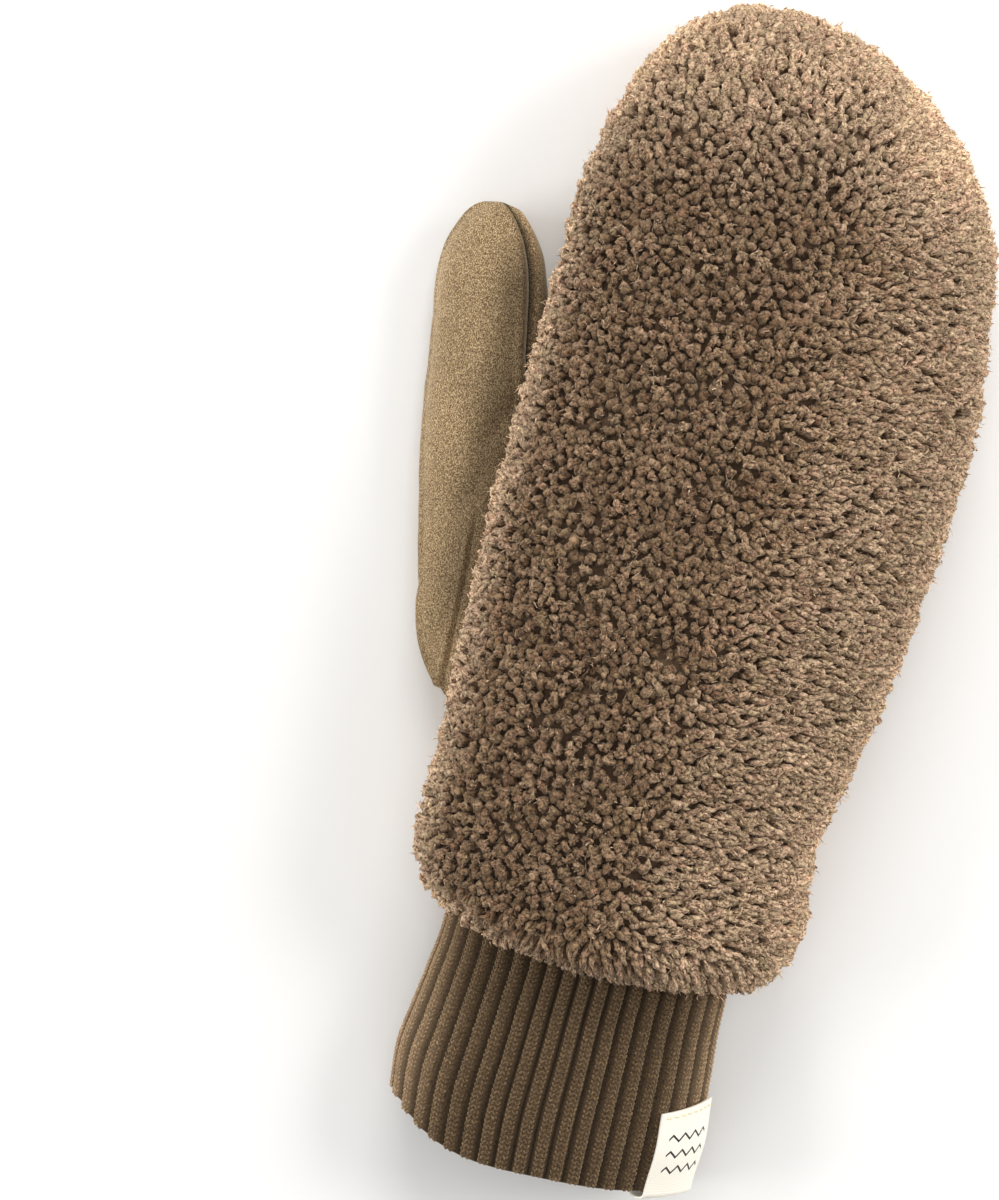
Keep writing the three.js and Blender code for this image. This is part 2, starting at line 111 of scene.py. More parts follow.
def add_node(tree, kind, settings, ramp=()):
    """Adds a node of a kind with its settings and links. A colour ramp gets its places and colours: the
    first, the last, and then any between them."""
    node = tree.nodes.new(kind)
    set_node(tree, node, settings)
    for number, (place, colour) in enumerate(ramp):
        stops = node.color_ramp.elements
        stop = stops[number] if number < 2 else stops.new(place)
        stop.position = place
        stop.color = linear(colour)
    return node


def new_material(name):
    """An empty material, its node tree and its main shader."""
    material = bpy.data.materials.new(name)
    material.use_nodes = True
    return material, material.node_tree, material.node_tree.nodes["Principled BSDF"]


table_top, tree, shader = new_material("matt_white_laminate")
# A grain too fine to see takes the gloss off the white.
place = add_node(tree, "ShaderNodeTexCoord", {}).outputs["Object"]
grain = add_node(tree, "ShaderNodeTexNoise", {"Scale": 900, "Detail": 2, "Vector": place})
bump = add_node(tree, "ShaderNodeBump", {"Strength": 0.05, "Distance": 0.0002, "Height": grain})
set_node(tree, shader, {"Base Color": linear("#f7f6f4"), "Roughness": 0.9, "Normal": bump})

table_mesh = bpy.data.meshes.new("table")
table_corners = ((-1, -1), (1, -1), (1, 1), (-1, 1))
table_mesh.from_pydata([(x * TABLE_HALF, y * TABLE_HALF, 0) for x, y in table_corners], [], [(0, 1, 2, 3)])
table_mesh.materials.append(table_top)
table = bpy.data.objects.new("table", table_mesh)
bpy.context.scene.collection.objects.link(table)


# Fleece backing: the knitted ground that carries the pile, cut to go over the back of the hand and wrap
# under its edges to the palm's seam. Polyester, seen only down in the gaps between the curls, where its
# dark brown is painted shade.
HAND_LENGTH, HAND_WIDTH, HAND_HEIGHT = 238.0, 109.0, 46.0
TIP_LENGTH, HEM_ROLL = 67.0, 26.0
TIP_LEVEL, THUMB_SIDE_LEVEL, LITTLE_SIDE_LEVEL = 13.0, 25.0, 17.0
FLATTENED = 0.8  # how much of the underside is pressed flat
PALM_INSET, PALM_SIDE_HEIGHT, PALM_SIDE_END, PALM_SIDE_FADE, PALM_HEM = 9.0, 20.0, 24.0, 55.0, 1.5
PAST_FLANK = 5.0  # how far the palm's cut passes the thumb side where it turns up
BACK_POWER, PALM_POWER, CUFF_POWER = 0.88, 0.82, 0.9
HEM_POWER, HEM_BACK_POWER, HEM_PALM_POWER, TIP_POWER, TIP_PALM_POWER = 2.5, 4.0, 12.0, 2.0, 3.0
HAND_AT = np.array([0, 0.1, 0.24, 0.45, 0.655, 0.83, 1])
HAND_THUMB_SIDE = np.array([-0.38, -0.371, -0.37, -0.367, -0.356, -0.342, -0.33])
HAND_LITTLE_SIDE = np.array([0.514, 0.506, 0.548, 0.604, 0.642, 0.66, 0.642])
HAND_HEIGHTS = np.array([0.9, 0.93, 0.98, 1, 1, 0.98, 0.94])
HEM_MIDDLE, TIP_MIDDLE = 0.13, 0.05
CUFF_WIDTH, CUFF_THICKNESS, CUFF_SHOWN, CUFF_TUCK = 77.0, 28.0, 50.5, 20.0
CUFF_AT = np.array([0, 0.28, 0.45, 0.6, 0.8, 1])
CUFF_MIDDLES = np.array([0.071, 0.071, 0.062, 0.055, 0.045, 0.045])
CUFF_WIDTHS = np.array([0.91, 0.925, 0.945, 0.97, 1, 0.985])
CUFF_THICKNESSES = np.array([1, 1, 1, 1.02, 1.03, 1])
CUFF_DROPS = np.array([0, 0, 1, 1, 1, 1])
WALL_AND_GAP = 2.3
MM = 0.001
HEM_IN_ROW = np.array([-4.216, -92.668, 0.0])  # where the hem's lowest point on the axis lies, in mm
RING_STEPS = 720
BACKING_DEPTH, BACKING_INNER, BACKING_HEM = 3.6, 6.4, 5.0
BACKING_COLUMNS, BACKING_CUFF_GAP = 80, 0.6
rng = np.random.default_rng(11)


def read(at, column, share):
    """A table's column at shares of its length: a cubic on each span, whose slope at each row is that
    between the rows on either side."""
    share = np.clip(share, 0, 1)
    i = np.clip(np.searchsorted(at, share, side="left") - 1, 0, len(at) - 2)
    before, after = np.maximum(i - 1, 0), np.minimum(i + 2, len(at) - 1)
    slope_in = (column[i + 1] - column[before]) / (at[i + 1] - at[before])
    slope_out = (column[after] - column[i]) / (at[after] - at[i])
    span = at[i + 1] - at[i]
    t = (share - at[i]) / span
    return (column[i] * (1 + 2 * t) * (1 - t) ** 2 + column[i + 1] * t * t * (3 - 2 * t)
            + span * (slope_in * t * (1 - t) ** 2 - slope_out * t * t * (1 - t)))


def fullness(share, power):
    """How full a rounded end is: (1 - share^power)^(1/power)."""
    return (1 - np.clip(share, 0, 1) ** power) ** (1 / power)


def blend(a, b, t):
    """From a at t = 0 straight to b at t = 1."""
    return a + (b - a) * t


def smoothstep(x, low, high):
    """From 0 at low to 1 at high, by 3 t^2 - 2 t^3."""
    t = np.clip((x - low) / (high - low), 0, 1)
    return t * t * (3 - 2 * t)


def bell(x, width):
    """From 1 at x = 0 down to 0 on both sides: exp(-(x/width)^2)."""
    return np.exp(-((x / width) ** 2))


def unit(vectors):
    """Vectors divided by their lengths."""
    return vectors / np.maximum(np.linalg.norm(vectors, axis=-1, keepdims=True), 1e-9)


def hand_section(y, side=0.0, top=0.0, bottom=0.0, hem=0.0, tip=0.0):
    """The hand's section at distances from the hem, moved inwards by the insets: where its two flanks
    are and at what level, and its top and bottom. Both ends close on rounded-end curves."""
    body = HAND_LENGTH - HEM_ROLL - TIP_LENGTH
    share = (y - HEM_ROLL) / body
    at_hem = np.clip((HEM_ROLL - y) / (HEM_ROLL - hem), 0, 1)
    at_tip = np.clip((y - HEM_ROLL - body) / (TIP_LENGTH - tip), 0, 1)
    thumb_side = read(HAND_AT, HAND_THUMB_SIDE, share) * HAND_WIDTH + side
    little_side = read(HAND_AT, HAND_LITTLE_SIDE, share) * HAND_WIDTH - side
    height = read(HAND_AT, HAND_HEIGHTS, share) * HAND_HEIGHT - top
    wide = fullness(at_hem, HEM_POWER) * fullness(at_tip, TIP_POWER)
    high = fullness(at_hem, HEM_BACK_POWER) * fullness(at_tip, TIP_POWER)
    deep = fullness(at_hem, HEM_PALM_POWER) * fullness(at_tip, TIP_PALM_POWER)
    middle = blend((thumb_side + little_side) / 2, HEM_MIDDLE * HAND_WIDTH, at_hem**2)
    middle = blend(middle, TIP_MIDDLE * HAND_WIDTH, at_tip**2.5)
    half = (little_side - thumb_side) / 2 * wide
    pole = blend(LITTLE_SIDE_LEVEL, TIP_LEVEL, at_tip**2)
    return {
        "thumb_side": middle - half,
        "little_side": middle + half,
        "middle": middle,
        "pole": pole,
        "thumb_level": blend(THUMB_SIDE_LEVEL, pole, np.maximum(at_hem, at_tip) ** 2),
        "top": pole + (height - pole) * high,
        "bottom": pole - (pole - bottom) * deep,
    }


def run_lengths(rings):
    """How far along each ring its points lie from its first: the sum of the steps before them."""
    steps = np.linalg.norm(np.diff(rings, axis=1), axis=2)
    return np.concatenate([np.zeros((len(rings), 1)), np.cumsum(steps, axis=1)], axis=1)


def hand_rings(y, **insets):
    """Closed rings round the hand, from the middle of the palm round by the little finger's side: x goes
    as |cos|^power and z as |sin|^power, with the underside pressed flat. Also their run lengths."""
    section = {k: v[:, None] for k, v in hand_section(y, **insets).items()}
    angle = np.linspace(-0.5 * np.pi, 1.5 * np.pi, RING_STEPS + 1)
    c, s = np.cos(angle), np.sin(angle)
    side = np.where(c > 0, section["little_side"], section["thumb_side"])
    power = np.where(s > 0, BACK_POWER, PALM_POWER)
    x = section["middle"] + (side - section["middle"]) * np.abs(c) ** power
    level = blend(section["thumb_level"], section["pole"], (1 + c) / 2)
    above = level + (section["top"] - level) * np.abs(s) ** power
    below = level - (level - section["bottom"] + FLATTENED) * np.abs(s) ** power
    z = np.where(s > 0, above, np.maximum(below, section["bottom"]))
    rings = np.stack([x, np.broadcast_to(y[:, None], x.shape), z], axis=2)
    return rings, run_lengths(rings)


def palm_edges(y, rings, run):
    """How far round each ring the palm's seam lies, on the little finger's side and the thumb's. The
    seam is where a ring leaves the space between the palm's two sides and under its turned-up top."""
    section = hand_section(np.maximum(y, HEM_ROLL), side=PALM_INSET, tip=PALM_INSET)
    side_end = HAND_LENGTH - PALM_SIDE_END
    turned = 1 - smoothstep(y, side_end - PALM_SIDE_FADE, side_end)
    thumb_edge = section["thumb_side"] - turned * (PALM_INSET + PAST_FLANK)
    top = blend(PALM_SIDE_HEIGHT, TIP_LEVEL, smoothstep(y, HAND_LENGTH - TIP_LENGTH, side_end))

    def first_past(past, length):
        """The run length at which past turns positive, read straight between two points."""
        at = np.maximum(np.argmax(past > 0, axis=1), 1)
        rows = np.arange(len(y))
        a, b = past[rows, at - 1], past[rows, at]
        share = np.clip(-a / np.where(b - a == 0, 1, b - a), 0, 1)
        return blend(length[rows, at - 1], length[rows, at], share)

    x, over = rings[..., 0], rings[..., 2] - top[:, None]
    little = first_past(np.maximum(x - section["little_side"][:, None], over), run)
    whole = run[:, -1:]
    back = np.maximum(thumb_edge[:, None] - x, over)[:, ::-1]
    thumb = whole[:, 0] - first_past(back, whole - run[:, ::-1])
    closed = y >= HAND_LENGTH - PALM_INSET
    return np.where(closed, 0, little), np.where(closed, whole[:, 0], thumb), closed


def even_arcs(rings, run, start, end, count):
    """Points at even steps along each ring, between two run lengths that may pass the ring's start."""
    shares = np.linspace(0, 1, count)
    arcs = []
    for points, lengths, a, b in zip(rings, run, start, end):
        goal = blend(a, b, shares)
        twice = np.concatenate([lengths, lengths[1:] + lengths[-1]])
        doubled = np.concatenate([points, points[1:]])
        arcs.append(np.stack([np.interp(goal, twice, doubled[:, k]) for k in range(3)], axis=1))
    return np.array(arcs)


def stations(start, end, start_round, end_round, counts):
    """Places along a form with two rounded ends, closer together towards each end as the sine is."""
    first = start + start_round * (1 - np.sin(np.linspace(1, 0, counts[0] + 1)[:-1] * np.pi / 2))
    body = np.linspace(start + start_round, end - end_round, counts[1] + 1)
    last = end - end_round + end_round * np.sin(np.linspace(0, 1, counts[2] + 1)[1:] * np.pi / 2)
    return np.concatenate([first, body, last])


def cuff_oval(share):
    """The cuff's middle, half width and half height at shares of its length from the tucked edge, read
    from its tables."""
    return (read(CUFF_AT, CUFF_MIDDLES, share) * CUFF_WIDTH,
            read(CUFF_AT, CUFF_WIDTHS, share) * CUFF_WIDTH / 2,
            read(CUFF_AT, CUFF_THICKNESSES, share) * CUFF_THICKNESS / 2)


def outside_cuff(points, gap):
    """Points beside the cuff's tucked part, moved straight away from its middle to its oval plus a gap
    if they lie within. Also how far out each lay, in shares of that oval, and 9 past the cuff."""
    y = points[..., 1]
    middle, half, high = cuff_oval((CUFF_TUCK - y) / (CUFF_TUCK + CUFF_SHOWN))
    level = WALL_AND_GAP + high - FLATTENED
    across, up = points[..., 0] - middle, points[..., 2] - level
    power = 2 / CUFF_POWER
    radius = (np.abs(across / (half + gap)) ** power + np.abs(up / (high + gap)) ** power) ** (1 / power)
    push = np.where(y < CUFF_TUCK + 0.5, 1 / np.clip(radius, 0.05, 1), 1)
    moved = np.stack([middle + across * push, y, level + up * push], axis=-1)
    return moved, np.where(y < CUFF_TUCK, radius, 9)


def grid_normals(grid, middle_x, middle_z):
    """Unit normals of a grid of rings, from the cross product of its steps both ways, facing away from
    the line of the rings' middles. At a closed end they point straight out from it."""
    along, across = np.gradient(grid, axis=0), np.gradient(grid, axis=1)
    normal = np.cross(across, along)
    out = grid - np.stack([middle_x, grid[:, 0, 1], middle_z], axis=1)[:, None]
    flat = np.linalg.norm(normal, axis=2, keepdims=True) < 1e-6
    normal = np.where(np.sum(normal * out, axis=2, keepdims=True) < 0, -normal, normal)
    return unit(np.where(flat, out, normal))


def cell_corners(grid):
    """A grid's values at the four corners of each of its cells, in turn round the cell."""
    return np.stack([grid[:-1, :-1], grid[:-1, 1:], grid[1:, 1:], grid[1:, :-1]])


def shell_faces(keep, joined=None):
    """Quads of a cloth between an outer and an inner grid: both sides of every kept cell, the inner one
    turned round, and a rim wherever a kept cell ends. Rows marked joined have no rim at their ends."""
    rows, columns = keep.shape[0] + 1, keep.shape[1] + 1
    inner = rows * columns
    index = np.arange(inner).reshape(rows, columns)
    a, b, c, d = cell_corners(index)[:, keep]
    faces = [np.stack([a, b, c, d], 1), np.stack([d, c, b, a], 1) + inner]
    padded = np.pad(keep, 1)
    low, high = padded[:-1, 1:-1], padded[1:, 1:-1]
    left, right = padded[1:-1, :-1], padded[1:-1, 1:]
    open_row = np.ones_like(left)
    if joined is not None:
        open_row[joined, 0] = open_row[joined, -1] = False
    rims = ((index[:, 1:], index[:, :-1], high & ~low), (index[:, :-1], index[:, 1:], low & ~high),
            (index[:-1], index[1:], right & ~left & open_row),
            (index[1:], index[:-1], left & ~right & open_row))
    for start, end, ends_here in rims:
        start, end = start[ends_here], end[ends_here]
        faces.append(np.stack([start, end, end + inner, start + inner], 1))
    return np.concatenate(faces)


def facing_out(points, faces):
    """A closed form's arrays of quads or triangles, turned round if the volume that they enclose, the sum
    of the triple products of their corners, is negative."""
    volume = 0
    for part in faces:
        a, b, c, d = (points[part[:, k]] for k in (0, 1, 2, -1))
        volume += np.sum(np.cross(a, b) * c) + np.sum(np.cross(a, c) * d)
    return [part[:, ::-1] for part in faces] if volume < 0 else faces


def make_piece(name, points, faces, material, corner_uv=None, attributes=None, merge=False):
    """A smooth-shaded piece that rides on the mitten. Points are in mm from the hem, faces is a list of
    arrays of quads or triangles, and corner_uv has two numbers for each corner of each face in turn."""
    mesh = bpy.data.meshes.new(name)
    corners = np.concatenate([f.ravel() for f in faces]).astype(np.int32)
    totals = np.concatenate([np.full(len(f), f.shape[1], np.int32) for f in faces])
    starts = np.concatenate([[0], np.cumsum(totals)[:-1]]).astype(np.int32)
    mesh.vertices.add(len(points))
    mesh.vertices.foreach_set("co", ((points + HEM_IN_ROW) * MM).astype(np.float32).ravel())
    mesh.loops.add(len(corners))
    mesh.loops.foreach_set("vertex_index", corners)
    mesh.polygons.add(len(totals))
    mesh.polygons.foreach_set("loop_start", starts)
    mesh.polygons.foreach_set("loop_total", totals)
    if corner_uv is not None:
        layer = mesh.uv_layers.new(name="along_piece")
        layer.data.foreach_set("uv", corner_uv.astype(np.float32).ravel())
    for label, values in (attributes or {}).items():
        layer = mesh.attributes.new(label, "FLOAT_VECTOR", "POINT")
        layer.data.foreach_set("vector", values.astype(np.float32).ravel())
    mesh.update(calc_edges=True)
    if merge:
        work = bmesh.new()
        work.from_mesh(mesh)
        bmesh.ops.remove_doubles(work, verts=work.verts, dist=1e-6)
        bmesh.ops.dissolve_degenerate(work, edges=work.edges, dist=1e-7)
        work.to_mesh(mesh)
        work.free()
    mesh.polygons.foreach_set("use_smooth", np.ones(len(mesh.polygons), bool))
    mesh.materials.append(material)
    piece = bpy.data.objects.new(name, mesh)
    bpy.context.scene.collection.objects.link(piece)
    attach(piece, "root")
    return piece


def cloth_shell(name, outer, inner, material, keep=None, joined=None, attributes=None):
    """A closed cloth between two grids, mapped from 0 to 1 across its columns and along its rows."""
    rows, columns = outer.shape[:2]
    if keep is None:
        keep = np.ones((rows - 1, columns - 1), bool)
    points = np.concatenate([outer.reshape(-1, 3), inner.reshape(-1, 3)])
    (quads,) = facing_out(points, [shell_faces(keep, joined)])
    across, along = np.meshgrid(np.linspace(0, 1, columns), np.linspace(0, 1, rows))
    uv = np.tile(np.stack([across, along], axis=2).reshape(-1, 2), (2, 1))
    return make_piece(name, points, [quads], material, corner_uv=uv[quads], attributes=attributes,
                      merge=True)


def soft_noise(points, wavelength, seed):
    """A smooth, seeded noise from -1 to 1: a sum of eight sine waves in random directions."""
    draw = np.random.default_rng(seed)
    total = 0
    for _ in range(8):
        direction = draw.normal(size=3)
        direction /= np.linalg.norm(direction)
        step = wavelength * draw.uniform(0.7, 1.5)
        total = total + np.sin(points @ direction * 2 * np.pi / step + draw.uniform(0, 6.28))
    return total / 4


def fleece_grid(y, columns, **insets):
    """The fleece's part of the hand's rings: from the palm's seam on the little finger's side over the
    back to the seam on the thumb's side, and whole rings past the palm's tip."""
    rings, run = hand_rings(y, **insets)
    little, thumb, closed = palm_edges(y, rings, run)
    return even_arcs(rings, run, little, thumb, columns), closed


backing_cloth, tree, shader = new_material("knitted_polyester_ground")
# The knit's loops show as dark and less dark flecks of about 1 mm.
place = add_node(tree, "ShaderNodeTexCoord", {}).outputs["Object"]
loops = add_node(tree, "ShaderNodeTexNoise", {"Scale": 900, "Detail": 3, "Vector": place})
# The ramp's dark browns are painted shade for the gaps between the curls.
ground = add_node(tree, "ShaderNodeValToRGB", {"Fac": loops}, [(0, "#4c3a29"), (1, "#866b53")])
bump = add_node(tree, "ShaderNodeBump", {"Strength": 0.8, "Distance": 0.0004, "Height": loops})
set_node(tree, shader, {"Base Color": ground, "Normal": bump, "Roughness": 0.95})

palm_tip = HAND_LENGTH - PALM_INSET
near_palm_tip = palm_tip - 10 * np.linspace(0, 1, 10) ** 2
hand_places = np.unique(np.concatenate([
    stations(PALM_HEM, HAND_LENGTH, HEM_ROLL - PALM_HEM, TIP_LENGTH, (12, 40, 34)), near_palm_tip]))
outer_places = np.interp(hand_places, [PALM_HEM, HEM_ROLL, palm_tip, HAND_LENGTH],
                         [BACKING_HEM, HEM_ROLL, palm_tip, HAND_LENGTH - BACKING_DEPTH])
inner_places = np.interp(hand_places, [PALM_HEM, HEM_ROLL, palm_tip, HAND_LENGTH],
                         [CUFF_TUCK, HEM_ROLL + 2, palm_tip, HAND_LENGTH - BACKING_INNER])
outer, closed = fleece_grid(outer_places, BACKING_COLUMNS, side=BACKING_DEPTH, top=BACKING_DEPTH,
                            bottom=2.2, hem=1.0, tip=BACKING_DEPTH)
inner, _ = fleece_grid(inner_places, BACKING_COLUMNS, side=BACKING_INNER, top=BACKING_INNER, bottom=4.0,
                       hem=6.0, tip=BACKING_INNER)
outer, past_cuff = outside_cuff(outer, BACKING_CUFF_GAP)
inner, _ = outside_cuff(inner, BACKING_CUFF_GAP)
outer = outer + soft_noise(outer, 14, 3)[..., None] * np.array([0.2, 0, 0.4])
backing = cloth_shell("fleece_backing", outer, inner, backing_cloth,
                      keep=cell_corners(past_cuff > 1).all(axis=0), joined=closed[:-1] & closed[1:])
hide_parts("fleece_back")


# Fleece pile: short curled locks of brown polyester fibre, with painted shade that makes them dark down at
# the root and paler where the curl turns over. Over most of the back they stand as round knobs; towards
# the little finger's side, the hem and the outline they are longer and combed over. Loose fibres stand out
# between them.
PILE_DEPTH, PILE_COLUMNS, PILE_CUFF_GAP = 3.9, 260, 0.8
TUFT_COUNT, TUFT_LOCKS = 3450, 4
LOCK_COUNT = TUFT_COUNT * TUFT_LOCKS
LOCK_SIDES, LOCK_RINGS = 5, 4
BENT_FIBRES, BENT_FIBRE_FOOT, BENT_FIBRE_KNEE = 5000, 0.11, 0.09  # half widths
FIBRE_ENDS, FIBRE_END_FOOT = 22000, 0.24
TUFT_REACH, TUFT_PUSH, TUFT_ROUNDS = 4.6, 1.6, 13  # within this reach the tufts push each other apart
AT_ONCE = 400  # how many tufts are measured against their neighbours in one step
PARTINGS = (  # start, end, width and depth of the lines along which the pile opens, in mm from the hem
    ((2.3, 82.4), (21.9, 70.1), 2.0, 1.8),
    ((-10.3, 86.4), (-8.4, 71.6), 1.8, 1.6),
    ((-8.4, 71.6), (-9.5, 65.4), 1.8, 1.4),
    ((10.9, 90.4), (16.4, 89.1), 1.8, 1.4),
    ((13.4, 108.4), (14.4, 107.0), 2.2, 1.8),
)
COMBED_WAYS = np.array([[0.98, 0.2, -0.7], [-0.9, -0.35, -0.7], [-0.1, -1, -0.35], [0.1, 0.9, -0.7]])
COMBED_PULLS = np.array([1, 0.7, 1.2, 0.6])  # to the right, to the left, over the hem and over the tip
COMBED_SHARES = np.array([0.85, 0.9, 0.95, 0.8])
RING_SHARES = np.array([0.0, 0.42, 0.75, 0.96])
KNOB_WIDTHS = np.array([0.75, 1.1, 1.08, 0.6])
COMBED_WIDTHS = np.array([0.9, 1.08, 0.9, 0.4])

pile_places = np.unique(np.concatenate([
    stations(0.05, HAND_LENGTH - 0.02, HEM_ROLL, TIP_LENGTH, (36, 110, 80)), near_palm_tip]))
pile_grid, _ = fleece_grid(pile_places, PILE_COLUMNS)
section = hand_section(pile_places)
pile_normals = grid_normals(pile_grid, section["middle"], section["pole"])
_, from_cuff = outside_cuff(pile_grid, PILE_CUFF_GAP)
first, second, third, fourth = cell_corners(pile_grid)
cell_area = np.linalg.norm(np.cross(third - first, fourth - second), axis=2) / 2
cell_area = cell_area * (from_cuff[:-1, :-1] > 1)


def at_cells(grid, v, u):
    """A grid's value at places between its rows and columns, blended from the four corners."""
    i = np.clip(v.astype(int), 0, grid.shape[0] - 2)
    j = np.clip(u.astype(int), 0, grid.shape[1] - 2)
    s, t = (v - i)[:, None], (u - j)[:, None]
    return blend(blend(grid[i, j], grid[i, j + 1], t), blend(grid[i + 1, j], grid[i + 1, j + 1], t), s)


def scatter_evenly(count, rounds):
    """Places on the pile's grid, first at even steps of its summed area, then moved apart: each is
    pushed away from those within reach by (1 - distance/reach)^2, along the cloth."""
    summed = np.cumsum(cell_area.ravel())
    goals = (np.arange(count) + rng.uniform(0, 1, count)) / count * summed[-1]
    cell = np.searchsorted(summed, goals)
    v = cell // cell_area.shape[1] + rng.uniform(0, 1, count)
    u = cell % cell_area.shape[1] + rng.uniform(0, 1, count)
    along, across = np.gradient(pile_grid, axis=0), np.gradient(pile_grid, axis=1)
    for _ in range(rounds):
        spots = at_cells(pile_grid, v, u)
        push = np.zeros_like(spots)
        order = np.argsort(spots[:, 1])
        in_order = spots[order]
        for start in range(0, count, AT_ONCE):
            block = in_order[start : start + AT_ONCE]
            low = np.searchsorted(in_order[:, 1], block[0, 1] - TUFT_REACH)
            high = np.searchsorted(in_order[:, 1], block[-1, 1] + TUFT_REACH)
            away = block[:, None] - in_order[None, low:high]
            distance = np.linalg.norm(away, axis=2) + 1e-6
            weight = np.clip(1 - distance / TUFT_REACH, 0, 1) ** 2 / distance
            push[order[start : start + AT_ONCE]] = np.sum(away * weight[..., None], axis=1)
        push *= TUFT_PUSH
        step_v, step_u = at_cells(along, v, u), at_cells(across, v, u)
        v = v + np.clip(np.sum(push * step_v, 1) / (np.sum(step_v**2, 1) + 1e-3), -2, 2)
        u = u + np.clip(np.sum(push * step_u, 1) / (np.sum(step_u**2, 1) + 1e-3), -2, 2)
        v = np.clip(v, 0, pile_grid.shape[0] - 1.001)
        u = np.clip(u, 0, pile_grid.shape[1] - 1.001)
    return v, u


def for_locks(of_tufts):
    """Values of the tufts, repeated for each tuft's locks."""
    return np.repeat(of_tufts, TUFT_LOCKS, axis=0)


def beside_line(points, start, end, width):
    """Where points lie beside a line, seen from above: the share along it, the way from it, and how
    close they are, as a bell of their distance."""
    start, way = np.array(start), np.array(end) - np.array(start)
    t = np.clip(((points[..., :2] - start) @ way) / (way @ way), 0, 1)
    away = points[..., :2] - (start + t[..., None] * way)
    return t, away, bell(np.linalg.norm(away, axis=-1), width)


def by_comb(standing, combed):
    """A random number for each lock, blended from one range where it stands to another where it is
    combed over."""
    return blend(rng.uniform(*standing, LOCK_COUNT), rng.uniform(*combed, LOCK_COUNT), comb)


# Each tuft is one lock in the middle and others round it, which curl in over it to a round knob
tuft_v, tuft_u = scatter_evenly(TUFT_COUNT, TUFT_ROUNDS)
lock_normal = for_locks(unit(at_cells(pile_normals, tuft_v, tuft_u)))
tangent = unit(np.cross(lock_normal, [0.3, 0.9, 0.2]))
bitangent = np.cross(lock_normal, tangent)
tuft_size = for_locks(rng.uniform(0.74, 1.26, TUFT_COUNT))
lobe = np.tile(np.arange(TUFT_LOCKS), TUFT_COUNT)
spin = for_locks(rng.uniform(0, 2 * np.pi, TUFT_COUNT)) + lobe * 2 * np.pi / (TUFT_LOCKS - 1)
spin = spin + rng.normal(0, 0.25, LOCK_COUNT)
from_middle = np.where(lobe == 0, 0.2, rng.uniform(0.9, 1.5, LOCK_COUNT)) * tuft_size
sideways = tangent * np.cos(spin)[:, None] + bitangent * np.sin(spin)[:, None]
lock_on = for_locks(at_cells(pile_grid, tuft_v, tuft_u)) + sideways * from_middle[:, None]
lock_x, lock_y = lock_on[:, 0], lock_on[:, 1]
past_slant = lock_x - 0.12 * (lock_y - 100)  # how far right of the line from which the pile is combed

# How far each lock is combed over, and which way: to the little finger's side, to the thumb's, down over
# the hem and up over the tip
combed_hem, combed_tip = 1 - smoothstep(lock_y, 3, 15), smoothstep(lock_y, 180, 226)
pull = COMBED_PULLS * np.stack(
    [smoothstep(past_slant, 2, 34), smoothstep(-lock_x, 24, 42), combed_hem, combed_tip], axis=1)
comb = np.clip(np.max(pull * COMBED_SHARES, axis=1), 0, 1)
comb = np.clip(comb + rng.normal(0, 0.12, LOCK_COUNT), 0, 1)
stray = tangent * rng.normal(0, 0.4, (LOCK_COUNT, 1)) + bitangent * rng.normal(0, 0.4, (LOCK_COUNT, 1))
lean_way = (pull @ COMBED_WAYS - sideways * blend(0.9, 0.1, comb)[:, None]
            + stray * blend(1.0, 0.6, comb)[:, None])
lean_way = unit(lean_way - lock_normal * np.sum(lean_way * lock_normal, 1, keepdims=True))

# How deep each lock is sunk: in soft hollows, deeper on the steep sides, and along the partings, from
# which it leans away
steep = smoothstep(1 - lock_normal[:, 2], 0.3, 0.9)
sunk = 0.5 * soft_noise(lock_on, 16, 5) + (0.45 + 0.55 * steep) * soft_noise(lock_on, 8, 6)
for start, end, width, depth in PARTINGS:
    _, away, near = beside_line(lock_on, start, end, width)
    sunk = sunk + depth * near
    distance = np.linalg.norm(away, axis=1, keepdims=True)
    opened = np.pad(away, ((0, 0), (0, 1))) / (distance + 0.3)
    lean_way = unit(lean_way + opened * near[:, None] * 1.5)
side_way = np.cross(lock_normal, lean_way)

thick = blend(rng.uniform(0.72, 1.16, LOCK_COUNT) * tuft_size, rng.uniform(0.68, 1.06, LOCK_COUNT), comb)
thick = thick * (1 + 0.2 * combed_tip)
curl_radius = by_comb((0.45, 0.9), (1.4, 2.4))
curl_turn = by_comb((2.0, 3.4), (1.0, 1.8))
first_lean = by_comb((-0.25, 0.2), (0.2, 0.75))
drift = rng.uniform(-0.6, 0.6, LOCK_COUNT)
proud = for_locks(rng.normal(0, 0.35, TUFT_COUNT)) + rng.normal(0, 0.12, LOCK_COUNT) - sunk
proud = (proud * blend(1.0, 0.6, comb) - 0.3 * from_middle * (1 - comb)
         + 2.4 * combed_hem * rng.uniform(0.5, 1, LOCK_COUNT))
lowered = np.where(lock_normal[:, 2] < -0.4, 0.5, 1.0)  # the pile is pressed down under the mitten
arch = curl_radius * (1 - np.sin(first_lean)) + thick
rise = np.clip((PILE_DEPTH + proud - arch) / np.cos(first_lean), 0.3, 4) * lowered
lock_root = lock_on - lock_normal * (PILE_DEPTH * lowered)[:, None]


